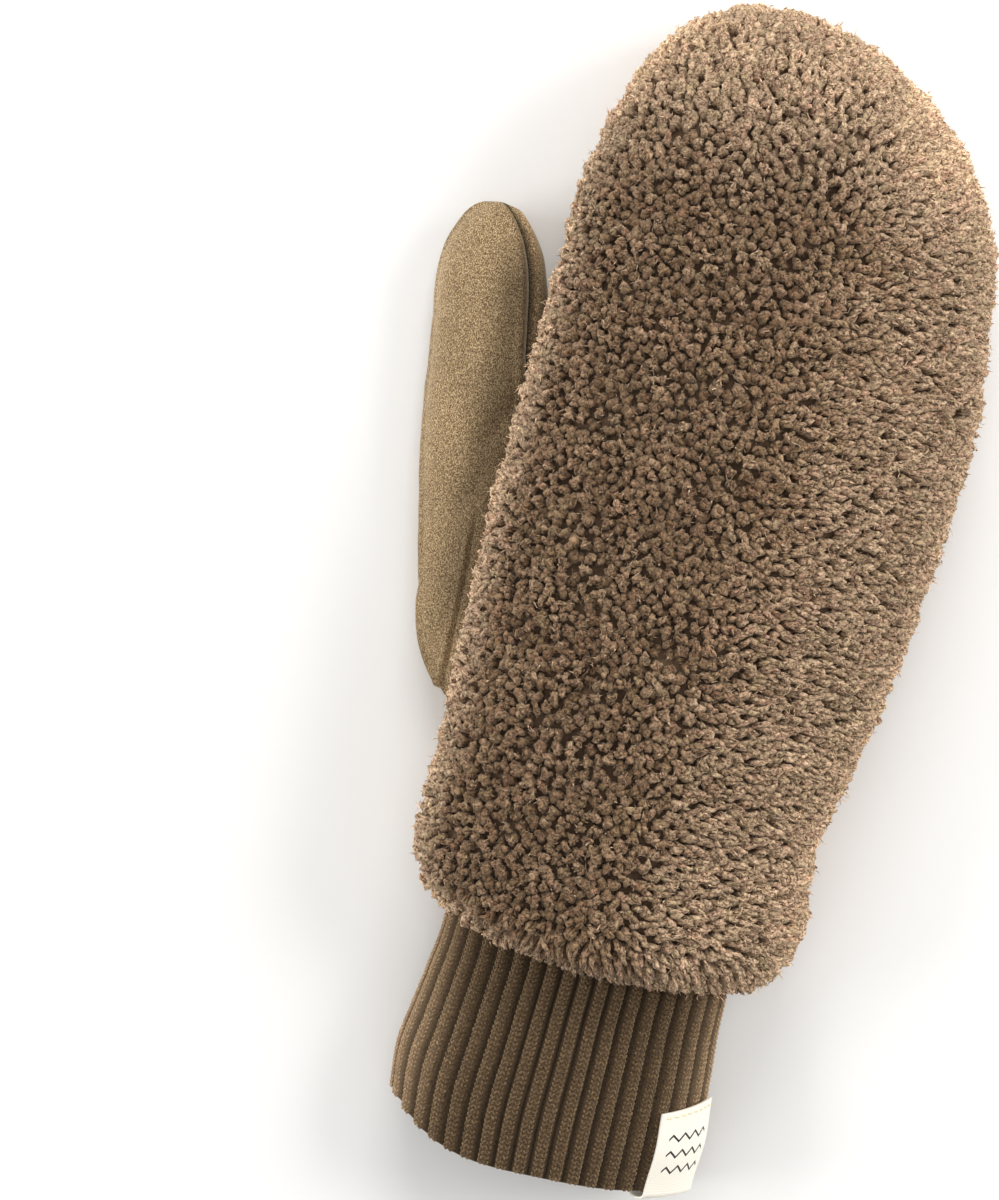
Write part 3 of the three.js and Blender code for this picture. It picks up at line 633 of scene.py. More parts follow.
def lock_centre(k, share):
    """A lock's centre line at shares of its length: straight up its lean for its rise, then round a curl
    of one radius. Gives the point, the way along, and the way across in the curl's plane."""
    gone = share * (rise[k] + curl_radius[k] * curl_turn[k])
    straight = np.minimum(gone, rise[k])
    bent = np.clip((gone - rise[k]) / (curl_radius[k] * curl_turn[k]), 0, 1)
    lean = first_lean[k] + curl_turn[k] * bent
    up = straight * np.cos(first_lean[k]) + curl_radius[k] * (np.sin(lean) - np.sin(first_lean[k]))
    over = straight * np.sin(first_lean[k]) - curl_radius[k] * (np.cos(lean) - np.cos(first_lean[k]))
    n, d, b = lock_normal[k], lean_way[k], side_way[k]
    point = lock_root[k] + up[:, None] * n + over[:, None] * d + (drift[k] * bent)[:, None] * b
    along = np.cos(lean)[:, None] * n + np.sin(lean)[:, None] * d
    across = -np.sin(lean)[:, None] * n + np.cos(lean)[:, None] * d
    return point, along, across


def round_ring(across, up, sides, turned=0.0):
    """A ring of even steps round each centre line: across times the cosine plus up times the sine."""
    turn = (np.arange(sides) / sides * 2 * np.pi + turned)[None, :, None]
    return across[:, None] * np.cos(turn) + up[:, None] * np.sin(turn)


def tube_faces(sides, rings):
    """One closed tube's faces: quads between its rings, and triangles to a pole at each end, whose two
    points come after those of the rings."""
    side = np.arange(sides)
    after = (side + 1) % sides
    quads = np.concatenate([np.stack([side, after, after + sides, side + sides], 1) + ring * sides
                            for ring in range(rings - 1)])
    pole, last = sides * rings, sides * (rings - 1)
    triangles = np.concatenate([np.stack([after, side, np.full(sides, pole)], 1),
                                np.stack([side + last, after + last, np.full(sides, pole + 1)], 1)])
    return quads, triangles


def copies(faces, count, points_each):
    """A small form's faces, repeated for a count of such forms whose points follow each other."""
    faces = np.array(faces)
    return (faces[None] + (np.arange(count) * points_each)[:, None, None]).reshape(-1, faces.shape[1])


all_locks = np.arange(LOCK_COUNT)
lock_points = []
for number, (share, knob, flowing) in enumerate(zip(RING_SHARES, KNOB_WIDTHS, COMBED_WIDTHS)):
    centre, along, across = lock_centre(all_locks, share)
    radius = (thick * blend(knob, flowing, comb))[:, None]
    radius = radius * (1 + rng.normal(0, 0.13, (LOCK_COUNT, LOCK_SIDES)))
    ring = round_ring(side_way, across, LOCK_SIDES, 0.4 * number)
    lock_points.append(centre[:, None] + ring * radius[..., None])
root_pole, _, _ = lock_centre(all_locks, 0.0)
tip_centre, tip_along, _ = lock_centre(all_locks, 1.0)
tip_pole = tip_centre + tip_along * (0.35 * thick)[:, None]
lock_points = np.concatenate([*lock_points, root_pole[:, None], tip_pole[:, None]], axis=1)
lock_points[..., 2] = np.maximum(lock_points[..., 2], 0.15)
per_lock = lock_points.shape[1]
# How deep each point lies under the pile's face: down between the curls the fibres are in shade
depth = np.sum((lock_on[:, None] - lock_points) * lock_normal[:, None], axis=2)
depth_shade = 1 - blend(0.45, 0.0, comb)[:, None] * smoothstep(depth, 0.2, 2.6)


def lock_uv(around, along):
    """The corners of a ring's faces on the lock's own map, from 0 to 1 round it and along it."""
    around, along = np.stack(around, axis=1) / LOCK_SIDES, np.tile(along, (LOCK_SIDES, 1))
    return np.stack([around, along], axis=2).reshape(-1, 2)


lock_quads, lock_triangles = tube_faces(LOCK_SIDES, LOCK_RINGS)
side = np.arange(LOCK_SIDES)
quad_uv = np.concatenate([lock_uv([side, side + 1, side + 1, side], [a, a, b, b])
                          for a, b in zip(RING_SHARES[:-1], RING_SHARES[1:])])
triangle_uv = np.concatenate([lock_uv([side + 1, side, side + 0.5], [0, 0, -0.05]),
                              lock_uv([side, side + 1, side + 0.5], [0.96, 0.96, 1])])

curl_fibre, tree, shader = new_material("curled_polyester_pile")
# Fibre bundles about 0.5 mm wide run along each lock: real fibres are far finer, and are drawn this
# coarse so that they show. Each lock has its own tone and hue. The tone also carries painted shade towards
# the root and painted light towards the outline, and the darker it is, the warmer the tint.
own = add_node(tree, "ShaderNodeAttribute", {"attribute_name": "lock"}).outputs["Vector"]
parts = add_node(tree, "ShaderNodeSeparateXYZ", {"Vector": own})
uv_map = add_node(tree, "ShaderNodeUVMap", {"uv_map": "along_piece"})
wound = add_node(tree, "ShaderNodeMapping",
                 {"Scale": (1.7, 0.5, 1), "Rotation": (0, 0, 0.2), "Vector": uv_map})
offset = add_node(tree, "ShaderNodeVectorMath", {"operation": "SCALE", "Scale": 57.0, "Vector": own})
shifted = add_node(tree, "ShaderNodeVectorMath", {"operation": "ADD", 0: wound, 1: offset})
strands = add_node(tree, "ShaderNodeTexNoise",
                   {"Scale": 1.0, "Detail": 2, "Roughness": 0.6, "Vector": shifted})
place = add_node(tree, "ShaderNodeTexCoord", {}).outputs["Object"]
flecks = add_node(tree, "ShaderNodeTexNoise",
                  {"Scale": 1500, "Detail": 2, "Roughness": 0.65, "Vector": place})
mingled = add_node(tree, "ShaderNodeMath", {"operation": "ADD", 0: strands, 1: flecks})
fibre_light = add_node(tree, "ShaderNodeMath", {"operation": "MULTIPLY", 0: mingled, 1: 0.5})
strand_colour = add_node(tree, "ShaderNodeValToRGB", {"Fac": fibre_light},
                         [(0.4, "#4e3827"), (0.6, "#e2ccb0")])
hue = add_node(tree, "ShaderNodeValToRGB", {"Fac": parts.outputs["Y"]},
               [(0, "#d8c592"), (1, "#eebca4"), (0.5, "#e2c6a8")])
tinted = add_node(tree, "ShaderNodeMixRGB",
                  {"blend_type": "MULTIPLY", "Fac": 0.5, "Color1": strand_colour, "Color2": hue})
warmth = add_node(tree, "ShaderNodeValToRGB", {"Fac": parts.outputs["X"]},
                  [(0.3, "#ffe6c6"), (0.95, "#ffffff")])
warmed = add_node(tree, "ShaderNodeMixRGB",
                  {"blend_type": "MULTIPLY", "Fac": 1.0, "Color1": tinted, "Color2": warmth})
coloured = add_node(tree, "ShaderNodeVectorMath",
                    {"operation": "SCALE", "Vector": warmed, "Scale": parts.outputs["X"]})
bump = add_node(tree, "ShaderNodeBump", {"Strength": 1.0, "Distance": 0.0007, "Height": fibre_light})
set_node(tree, shader, {
    "Base Color": coloured, "Normal": bump, "Roughness": 0.85, "Specular IOR Level": 0.25,
    "Sheen Weight": 0.5, "Sheen Roughness": 0.45, "Sheen Tint": linear("#e0cdb4")})

# Painted light: the pile's colour is made paler on the steep flanks and along the thumb's side, as rim
# light. It is also paler on the right, at the low right and over the tip, partly because the pile there is
# combed over and shows its fibres' sides, and partly as painted light. The rest of the tone differs at
# random.
flank = smoothstep(1 - lock_normal[:, 2], 0.2, 0.8)
low_right = smoothstep(lock_x, 10, 40) * (1 - smoothstep(lock_y, 30, 90))
right_side = smoothstep(past_slant, 11, 42)
left_rim_light = 1 - smoothstep(lock_x - hand_section(lock_y)["thumb_side"], 1.5, 8.5)
tone = 0.65 + 0.38 * flank + 0.42 * left_rim_light + 0.3 * right_side + 0.7 * combed_tip + 0.2 * low_right
tone = tone + 0.06 * soft_noise(lock_on, 20, 8) + rng.normal(0, 0.06, LOCK_COUNT)
tone = tone + for_locks(rng.normal(0, 0.06, TUFT_COUNT))
own_hue = np.clip(rng.normal(0.5, 0.25, LOCK_COUNT) + 0.1 * soft_noise(lock_on, 12, 9), 0, 1)
lock_values = np.stack([tone, own_hue, rng.uniform(0, 1, LOCK_COUNT)], axis=1)
lock_colours = np.repeat(lock_values[:, None], per_lock, axis=1)
lock_colours[..., 0] *= depth_shade

places_named = ("hem", "wrist", "middle", "knuckles", "tip")
for label, chosen in zip(places_named, np.array_split(np.argsort(lock_y), len(places_named))):
    faces = [copies(part, len(chosen), per_lock) for part in (lock_quads, lock_triangles)]
    size = np.stack([2 * np.pi * thick[chosen], (rise + curl_radius * curl_turn)[chosen]], axis=1)
    uv = np.concatenate([(part[None] * size[:, None]).reshape(-1, 2) for part in (quad_uv, triangle_uv)])
    make_piece(
        "fleece_curls_" + label, lock_points[chosen].reshape(-1, 3), faces, curl_fibre,
        corner_uv=uv, attributes={"lock": lock_colours[chosen].reshape(-1, 3)})


def fibres_on_locks(count, lowest):
    """Places on the locks' surfaces: which lock, a foot, the way outwards and the way along."""
    of = rng.integers(0, LOCK_COUNT, count)
    centre, along, across = lock_centre(of, rng.uniform(lowest, 1, count))
    turn = rng.uniform(0, 2 * np.pi, count)[:, None]
    outward = side_way[of] * np.cos(turn) + across * np.sin(turn)
    return of, centre + outward * (thick[of] * 0.85)[:, None], outward, along


def fibre_piece(name, of, points, *faces):
    """Many small fibres as one piece, each paler or darker than its lock at random, most of them paler, as
    painted highlights on the curls.
    """
    count, each = points.shape[:2]
    points[..., 2] = np.maximum(points[..., 2], 0.1)
    faces = [copies(part, count, each) for part in faces]
    own = lock_values[of] * np.stack([rng.uniform(0.75, 1.9, count), np.ones(count), np.ones(count)], 1)
    return make_piece(name, points.reshape(-1, 3), faces, curl_fibre,
                      corner_uv=np.full((sum(f.size for f in faces), 2), 0.9),
                      attributes={"lock": np.repeat(own, each, axis=0)})


# Bent fibres stand out of the pile, each two tapered lengths of three sides
of, foot, outward, along = fibres_on_locks(BENT_FIBRES, 0.35)
way = unit(0.6 * outward + 0.6 * along + 0.7 * rng.normal(size=(BENT_FIBRES, 3)))
bend_way = unit(np.cross(way, rng.normal(size=(BENT_FIBRES, 3))) - 0.3 * outward)
length = rng.uniform(1.2, 3.2, BENT_FIBRES)[:, None]
knee = foot + way * length * 0.55
end = knee + unit(way + 0.9 * bend_way) * length * 0.45
corner = round_ring(bend_way, np.cross(way, bend_way), 3)
fibre_piece(
    "fleece_loose_fibres", of,
    np.concatenate([foot[:, None] + corner * BENT_FIBRE_FOOT,
                    knee[:, None] + corner * BENT_FIBRE_KNEE, end[:, None]], axis=1),
    [[0, 1, 4, 3], [1, 2, 5, 4], [2, 0, 3, 5]], [[3, 4, 6], [4, 5, 6], [5, 3, 6], [2, 1, 0]])

# Fibre ends lie along the curls, each one tapered length
of, foot, outward, along = fibres_on_locks(FIBRE_ENDS, 0.3)
way = unit(0.9 * along + 0.25 * outward + 0.45 * rng.normal(size=(FIBRE_ENDS, 3)))
bend_way = unit(np.cross(way, rng.normal(size=(FIBRE_ENDS, 3))))
corner = round_ring(bend_way, np.cross(way, bend_way), 3)
end = foot + way * rng.uniform(0.8, 2.0, FIBRE_ENDS)[:, None]
fibre_piece(
    "fleece_fibre_ends", of,
    np.concatenate([foot[:, None] + corner * FIBRE_END_FOOT, end[:, None]], axis=1),
    [[0, 1, 3], [1, 2, 3], [2, 0, 3], [2, 1, 0]])


# Suede palm: one piece of brushed microfibre suede, turned in along its seam with the fleece, and up the
# side of the hand as far as the fleece's edge. It is pressed flat where the mitten lies on it.
SUEDE_WALL, PALM_COLUMNS, PALM_CUFF_GAP = 2.0, 100, 0.3
PUCKER_PITCH, PUCKER_DEPTH, PUCKER_REACH = 7.5, 0.35, 4
SEAM_TURN, SEAM_TURN_WIDTH, HEM_TURN, HEM_TURN_WIDTH = 1.3, 1.6, 0.9, 1.4
HEM_CORNER = 17  # how far the hem runs up at its corner on the thumb's side
PALM_CREASES = (  # start, end, width and depth, in mm from the hem
    ((-40.0, 150.0), (18.0, 128.0), 3.6, 1.5),
    ((-41.0, 136.0), (6.0, 112.0), 4.2, 1.2),
    ((-34.0, 66.0), (-18.0, 40.0), 4.0, 0.8),
)
THUMB_ROOT, THUMB_LENGTH, THUMB_WIDTH, THUMB_THICKNESS = 57.0, 121.0, 30.0, 20.0
THUMB_TIP_LENGTH, THUMB_ROOT_LENGTH, THUMB_EDGE_RISE = 26.0, 26.0, 6.34
THUMB_AT = np.array([0, 0.26, 0.55, 0.83, 1])
THUMB_OUTS = np.array([-0.09, 0.05, 0.19, 0.333, 0.413])
THUMB_WIDTHS = np.array([0.99, 1.03, 1.02, 0.99, 0.96])
THUMB_THICKNESSES = np.array([0.92, 1, 1, 1, 0.96])
THUMB_ROLLS = np.array([0.1, 0.35, 0.7, 1, 1])
THUMB_ROOT_OUT, THUMB_TIP_OUT = -0.13, 0.567
THUMB_ROOT_POWER, THUMB_TIP_POWER = 2.0, 2.1

brushed_suede, tree, shader = new_material("brushed_microfibre_suede")
# Nap specks of about 0.3 mm, a little longer along the hand, on slow changes where a hand has brushed
# the nap one way or the other.
place = add_node(tree, "ShaderNodeTexCoord", {}).outputs["Object"]
strokes = add_node(tree, "ShaderNodeMapping", {"Scale": (1, 0.65, 1), "Vector": place})
specks = add_node(tree, "ShaderNodeTexNoise",
                  {"Scale": 3700, "Detail": 2, "Roughness": 0.6, "Vector": strokes})
brushed = add_node(tree, "ShaderNodeTexNoise",
                   {"Scale": 55, "Detail": 3, "Roughness": 0.55, "Vector": place})
nap_and_painted_light = add_node(tree, "ShaderNodeValToRGB", {"Fac": specks},
               [(0.36, "#544230"), (0.66, "#ccb38b"), (0.5, "#8c7352")])
slow = add_node(tree, "ShaderNodeMapRange",
                {"From Min": 0.3, "From Max": 0.7, "To Min": 0.88, "To Max": 1.1, "Value": brushed})
# The attribute read here is painted light and painted shade, which scales the nap's colour.
own = add_node(tree, "ShaderNodeAttribute", {"attribute_name": "nap_and_painted_light"}).outputs["Vector"]
painted_light_parts = add_node(tree, "ShaderNodeSeparateXYZ", {"Vector": own})
toned = add_node(tree, "ShaderNodeMath", {"operation": "MULTIPLY", 0: painted_light_parts, 1: slow})
coloured = add_node(tree, "ShaderNodeVectorMath", {"operation": "SCALE", "Vector": nap_and_painted_light, "Scale": toned})
bump = add_node(tree, "ShaderNodeBump", {"Strength": 0.5, "Distance": 0.00025, "Height": specks})
set_node(tree, shader, {
    "Base Color": coloured, "Normal": bump, "Roughness": 0.92, "Specular IOR Level": 0.2,
    "Sheen Weight": 0.6, "Sheen Roughness": 0.4, "Sheen Tint": linear("#e6d6bb")})


def suede_painted_light(outer, inner, seam=None, seam_shade=0.0):
    """Painted light and shade on the suede, as an attribute: painted shade where the thumb turns down to
    the hand beside the fleece and at the very edge of a seam, and painted light along the thumb's outer
    side. The ridge beside the seam gets painted light or painted shade by seam_shade."""
    points = np.concatenate([outer.reshape(-1, 3), inner.reshape(-1, 3)])
    x, y, z = points.T
    beside = smoothstep(x, -53, -43) * smoothstep(y, 66, 84) * (1 - smoothstep(y, 158, 176)) * (z > 6)
    tone = 1 - 0.5 * beside * (x < -36) + 0.14 * smoothstep(-x, 60, 66)
    if seam is not None:
        from_seam = np.tile(seam.ravel(), 2)
        tone = tone * (1 + seam_shade * bell(from_seam - 2, 1.3)) * (1 - 0.85 * bell(from_seam, 0.8))
    return {"nap_and_painted_light": np.stack([tone, tone, tone], axis=1)}


def palm_grid(y, **insets):
    """The palm's part of the hand's rings: from the thumb side's seam under the hand to the other."""
    rings, run = hand_rings(y, **insets)
    little, thumb, closed = palm_edges(y, rings, run)
    return even_arcs(rings, run, thumb, np.where(closed, thumb, run[:, -1] + little), PALM_COLUMNS)


def thumb_section(along, inset=0.0):
    """The thumb's section at distances from its root: an ellipse, rolled with its edge beside the hand
    raised, and resting on the table."""
    body = THUMB_LENGTH - THUMB_ROOT_LENGTH - THUMB_TIP_LENGTH
    share = (along - THUMB_ROOT_LENGTH) / body
    root = np.clip((THUMB_ROOT_LENGTH - along) / (THUMB_ROOT_LENGTH - inset), 0, 1)
    tip = np.clip((along - THUMB_ROOT_LENGTH - body) / (THUMB_TIP_LENGTH - inset), 0, 1)
    full = fullness(root, THUMB_ROOT_POWER) * fullness(tip, THUMB_TIP_POWER)
    out = blend(blend(read(THUMB_AT, THUMB_OUTS, share), THUMB_ROOT_OUT, root), THUMB_TIP_OUT, tip)
    width = read(THUMB_AT, THUMB_WIDTHS, share) * THUMB_WIDTH / 2
    thickness = read(THUMB_AT, THUMB_THICKNESSES, share) * THUMB_THICKNESS / 2
    roll = read(THUMB_AT, THUMB_ROLLS, share) * math.asin(2 * THUMB_EDGE_RISE / THUMB_WIDTH)
    return {
        "roll": roll,
        "middle": hand_section(THUMB_ROOT + along)["thumb_side"] - out * THUMB_WIDTH,
        "level": np.hypot(width * np.sin(roll), thickness * np.cos(roll)) - FLATTENED,
        "wide": (width - inset) * full,
        "thick": (thickness - inset) * full,
    }


def in_thumb(points, inset):
    """True for points inside the thumb's form at an inset: measured along its rolled ellipse's two axes,
    they lie within the unit circle."""
    along = points[..., 1] - THUMB_ROOT
    section = thumb_section(np.clip(along, inset, THUMB_LENGTH - inset), inset)
    across, up = points[..., 0] - section["middle"], points[..., 2] - section["level"]
    c, s = np.cos(section["roll"]), np.sin(section["roll"])
    wide = (across * c + up * s) / np.maximum(section["wide"], 0.01)
    thick = (up * c - across * s) / np.maximum(section["thick"], 0.01)
    return (wide**2 + thick**2 < 1) & (along > inset) & (along < THUMB_LENGTH - inset)


def nearest_edge(grid):
    """How far each point of a grid lies along its row from the nearer end of the row."""
    run = run_lengths(grid)
    return np.minimum(run, run[:, -1:] - run)


palm_places = np.unique(np.concatenate([
    stations(PALM_HEM, palm_tip, HEM_ROLL - PALM_HEM, TIP_LENGTH - PALM_INSET, (12, 54, 30)),
    near_palm_tip[1:], PALM_HEM + np.linspace(0, 1, 5) ** 2 * 3]))
share = (palm_places - PALM_HEM) / (palm_tip - PALM_HEM)
outer = palm_grid(palm_places)
section = hand_section(palm_places)
normals = grid_normals(outer, section["middle"], section["pole"])
# The edge is turned in along both seams, the tip and the hem, and gathered in small puckers
from_seam = nearest_edge(outer)
from_end = np.minimum(from_seam, palm_tip - outer[..., 1])
turned_in = SEAM_TURN * (1 - smoothstep(from_end, 0, SEAM_TURN_WIDTH))
turned_in += HEM_TURN * (1 - smoothstep(outer[..., 1] - PALM_HEM, 0, HEM_TURN_WIDTH))
pucker = PUCKER_DEPTH * (1 + np.sin(outer[..., 1] * 2 * np.pi / PUCKER_PITCH))
pucker = pucker * bell(from_seam, PUCKER_REACH)
creased = np.zeros(outer.shape[:2])
for start, end, width, depth in PALM_CREASES:
    t, _, near = beside_line(outer, start, end, width)
    creased += depth * near * (1 - t**3)
lumps = 0.25 * (1 + soft_noise(outer, 26, 21)) * (outer[..., 2] < 3)
outer = outer - normals * (turned_in + pucker + creased + lumps)[..., None]
outer[..., 2] = np.maximum(outer[..., 2], 0.02)
inner = palm_grid(blend(CUFF_TUCK, palm_tip - 0.5, share), side=SUEDE_WALL + 1.6, bottom=SUEDE_WALL + 1.4)
outer, _ = outside_cuff(outer, PALM_CUFF_GAP)
inner, _ = outside_cuff(inner, PALM_CUFF_GAP)
# On the thumb's side the hem runs up under the pile's edge
corner = HEM_CORNER * smoothstep(-outer[..., 0], 12, 40) * smoothstep(outer[..., 2], 3, 9)
outer[..., 1] = np.maximum(outer[..., 1], corner + 0.1 * outer[..., 1] * (corner > 1))
cell_middle = (outer[1:, 1:] + outer[:-1, :-1]) / 2
palm = cloth_shell("suede_palm_face", outer, inner, brushed_suede,
                   keep=~in_thumb(cell_middle, SUEDE_WALL + 0.5), attributes=suede_painted_light(outer, inner))
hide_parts("suede_palm")


# Thumb: two halves of the same suede, seamed along both edges and round the tip. The palm half stands a
# little proud of the seam, and the root is gathered into the palm beside the fleece's edge.
THUMB_SEAM_TURN = 0.5  # the seam lies this far above the widest line, in radians
THUMB_COLUMNS, HALF_TURN_STEPS = 64, 400
RIDGE_PLACE, THUMB_SEAM_DEPTH, THUMB_SEAM_WIDTH = 2.2, 1.4, 1.5
HAND_GAP = 0.25
GUSSET_X, GUSSET_TOP, GUSSET_FOOT = -42.2, 99.5, 60.5
THUMB_CREASES = (
    ((-37.0, 132.0), (-44.0, 120.0), 3.2, 1.0),
    ((-38.0, 118.0), (-47.0, 104.0), 3.4, 0.7),
    ((-56.0, 104.0), (-49.0, 92.0), 4.5, 0.5),
)


def hand_flank(y, z):
    """Where the thumb side of the hand is at distances from the hem and at levels: the hand's section
    solved for x."""
    section = hand_section(y)
    level = section["thumb_level"]
    below = (level - z) / np.maximum(level - section["bottom"] + FLATTENED, 0.01)
    above = (z - level) / np.maximum(section["top"] - level, 0.01)
    power = np.where(z < level, PALM_POWER, BACK_POWER)
    sine = np.clip(np.where(z < level, below, above), 0, 1) ** (1 / power)
    cosine = np.sqrt(np.clip(1 - sine**2, 0, 1))
    return section["middle"] + (section["thumb_side"] - section["middle"]) * cosine**power


def thumb_half(along, first, last, inset=0.0):
    """Rings of half a thumb, at even steps along the ellipse between two angles."""
    section = {k: v[:, None] for k, v in thumb_section(along, inset).items()}
    angle = np.linspace(first, last, HALF_TURN_STEPS)[None]
    wide, thick = section["wide"] * np.cos(angle), section["thick"] * np.sin(angle)
    c, s = np.cos(section["roll"]), np.sin(section["roll"])
    x = section["middle"] + wide * c - thick * s
    z = np.maximum(section["level"] + wide * s + thick * c, inset)
    rings = np.stack([x, np.broadcast_to(THUMB_ROOT + along[:, None], x.shape), z], axis=2)
    run = run_lengths(rings)
    return even_arcs(rings, run, run[:, 0], run[:, -1], THUMB_COLUMNS)


def suede_thumb(name, first, last, proud, seam_shade):
    """Half a thumb: its outside with the seam's turned edge, soft lumps and creases, kept outside the
    hand, and its inside a wall's thickness in."""
    along = stations(0, THUMB_LENGTH, THUMB_ROOT_LENGTH, THUMB_TIP_LENGTH, (18, 50, 24))
    outer = thumb_half(along, first, last)
    section = thumb_section(along)
    normals = grid_normals(outer, section["middle"], section["level"])
    x, y, z = outer[..., 0], outer[..., 1], outer[..., 2]
    seam = nearest_edge(outer)
    turned_in = THUMB_SEAM_DEPTH * (1 - smoothstep(seam, 0, THUMB_SEAM_WIDTH))
    move = proud * bell(seam - RIDGE_PLACE, 1) - turned_in
    move = move * smoothstep(section["wide"][:, None], 1.5, 6)
    move = move + 0.22 * soft_noise(outer, 22, 31) + 0.1 * soft_noise(outer, 7, 32)
    for start, end, width, depth in THUMB_CREASES:
        _, _, near = beside_line(outer, start, end, width)
        move = move - depth * near * (z > 6)
    gusset = x - (GUSSET_X - 0.4 * smoothstep(y, 85, 100))
    on_gusset = smoothstep(y, GUSSET_FOOT - 4, GUSSET_FOOT) * (z > 6) * (
        1 - smoothstep(y, GUSSET_TOP - 6, GUSSET_TOP + 8))
    move = move + on_gusset * (0.45 * bell(gusset + 0.9, 0.8) - bell(gusset, 0.45))
    outer = outer + normals * move[..., None]
    outer[..., 2] = np.maximum(outer[..., 2], 0.02)
    inner_along = blend(SUEDE_WALL, THUMB_LENGTH - SUEDE_WALL, along / THUMB_LENGTH)
    inner = thumb_half(inner_along, first, last, SUEDE_WALL)
    flank = hand_flank(outer[..., 1], outer[..., 2]) - HAND_GAP
    buried = outer[..., 0] > flank
    outer[..., 0] = np.minimum(outer[..., 0], flank)
    inner[..., 0] = np.minimum(inner[..., 0], hand_flank(inner[..., 1], inner[..., 2]) - HAND_GAP)
    return cloth_shell(name, outer, inner, brushed_suede, keep=~cell_corners(buried).all(axis=0),
                       attributes=suede_painted_light(outer, inner, seam, seam_shade))


# The back half's ridge gets a little painted shade, and the palm half's a painted highlight.
thumb_back = suede_thumb("suede_thumb_back", THUMB_SEAM_TURN, np.pi, 0.8, -0.12)
thumb_front = suede_thumb("suede_thumb_front", np.pi, 2 * np.pi + THUMB_SEAM_TURN, 0.5, 0.45)
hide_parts("thumb_outer")
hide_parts("thumb_inner")


# Cuff: a tube of brown 2 by 1 rib knit, folded double at its hem and sewn into the mitten's mouth. Each
# rib is two columns of V stitches, with a deep purl groove beside it.
RIB_PITCH, RIB_DEPTH, RIB_STEPS = 4.5, 1.6, 8
CUFF_WALL, CUFF_SKIN = 3.0, 0.15
HEM_RISE_THUMB, HEM_RISE_LITTLE = 13.0, 5.0
CUFF_HEART = np.array([4.5, 0, 14.0])  # a point on the line through the cuff's middle
STITCH_ROW, STITCH_LENGTH, STITCH_HALF, STITCH_SIDES = 1.2, 1.6, 0.3128, 4
STITCH_ACROSS = np.array([-0.21, -0.075, 0.075, 0.21])  # the four columns' places across a rib's pitch
STITCH_SLANT = np.array([0.5, -0.5, 0.5, -0.5])
RAIL_STEPS = 20


def cuff_point(angle, share, out):
    """Points of the cuff at an angle round it and a share of its length from the tucked edge, moved
    outwards: an oval with power 0.9, pressed flat below, whose hem curls up at its two sides."""
    middle, half, high = cuff_oval(share)
    lowest = WALL_AND_GAP * (1 - read(CUFF_AT, CUFF_DROPS, share))
    c, s = np.cos(angle), np.sin(angle)
    x = middle + np.sign(c) * (half + out) * np.abs(c) ** CUFF_POWER
    z = lowest + high - FLATTENED + np.sign(s) * (high + out) * np.abs(s) ** CUFF_POWER
    hem = -CUFF_SHOWN + np.where(c < 0, HEM_RISE_THUMB, HEM_RISE_LITTLE) * np.abs(c) ** 3
    y = blend(CUFF_TUCK, hem, share)
    return np.stack([x, y, np.maximum(z, lowest - np.minimum(out, 0) + 0.1)], axis=-1)


def even_cuff_rings(shares, out, count):
    """Rings of the cuff at even steps round it, one for each share, and the last point left out. Also
    the last ring's length."""
    angle = np.linspace(0, 2 * np.pi, RING_STEPS + 1)[None]
    rings = cuff_point(angle, shares[:, None] + 0 * angle, out)
    run = run_lengths(rings[..., [0, 2]])
    return even_arcs(rings, run, run[:, 0], run[:, -1], count + 1)[:, :-1], run[-1, -1]


def knit_tone(points, tone):
    """A tone for each point, and how much painted pale sheen is mixed in there: more where the cuff turns
    down at its two sides, where the tone is raised by painted light too."""
    painted_side_sheen = 0.2 * smoothstep(np.abs(points[:, 0] - CUFF_HEART[0]), 23, 38)
    return {"stitch": np.stack([tone * (1 + 5 * painted_side_sheen * smoothstep(tone, 0.25, 0.6)), painted_side_sheen, tone], axis=1)}


def rib_height(phase):
    """How high a rib stands at a phase from 0 to 1 across its pitch: a round rib with a groove at phase
    0, from the sine to the power 0.9."""
    return np.abs(np.sin(np.pi * phase)) ** 0.9


rib_knit, tree, shader = new_material("rib_knit_acrylic")
# The yarn's fibres and the loops' shadow show as a fine mottle of about 0.5 mm, the shadow painted in.
# Painted shade darkens the grooves, and a painted pale sheen is mixed in at the cuff's two sides, through
# the stitch attribute.
own = add_node(tree, "ShaderNodeAttribute", {"attribute_name": "stitch"}).outputs["Vector"]
parts = add_node(tree, "ShaderNodeSeparateXYZ", {"Vector": own})
place = add_node(tree, "ShaderNodeTexCoord", {}).outputs["Object"]
mottle = add_node(tree, "ShaderNodeTexNoise",
                  {"Scale": 2200, "Detail": 3, "Roughness": 0.65, "Vector": place})
yarn = add_node(tree, "ShaderNodeValToRGB", {"Fac": mottle}, [(0.3, "#38291b"), (0.72, "#7d6549")])
painted_sheen_mixed = add_node(tree, "ShaderNodeMixRGB",
                  {"Fac": parts.outputs["Y"], "Color1": yarn, "Color2": linear("#a08b72")})
toned = add_node(tree, "ShaderNodeVectorMath",
                 {"operation": "SCALE", "Vector": painted_sheen_mixed, "Scale": parts.outputs["X"]})
bump = add_node(tree, "ShaderNodeBump", {"Strength": 0.7, "Distance": 0.0003, "Height": mottle})
set_node(tree, shader, {
    "Base Color": toned, "Normal": bump, "Roughness": 0.9, "Specular IOR Level": 0.2,
    "Sheen Weight": 0.9, "Sheen Roughness": 0.4, "Sheen Tint": linear("#cdb795")})

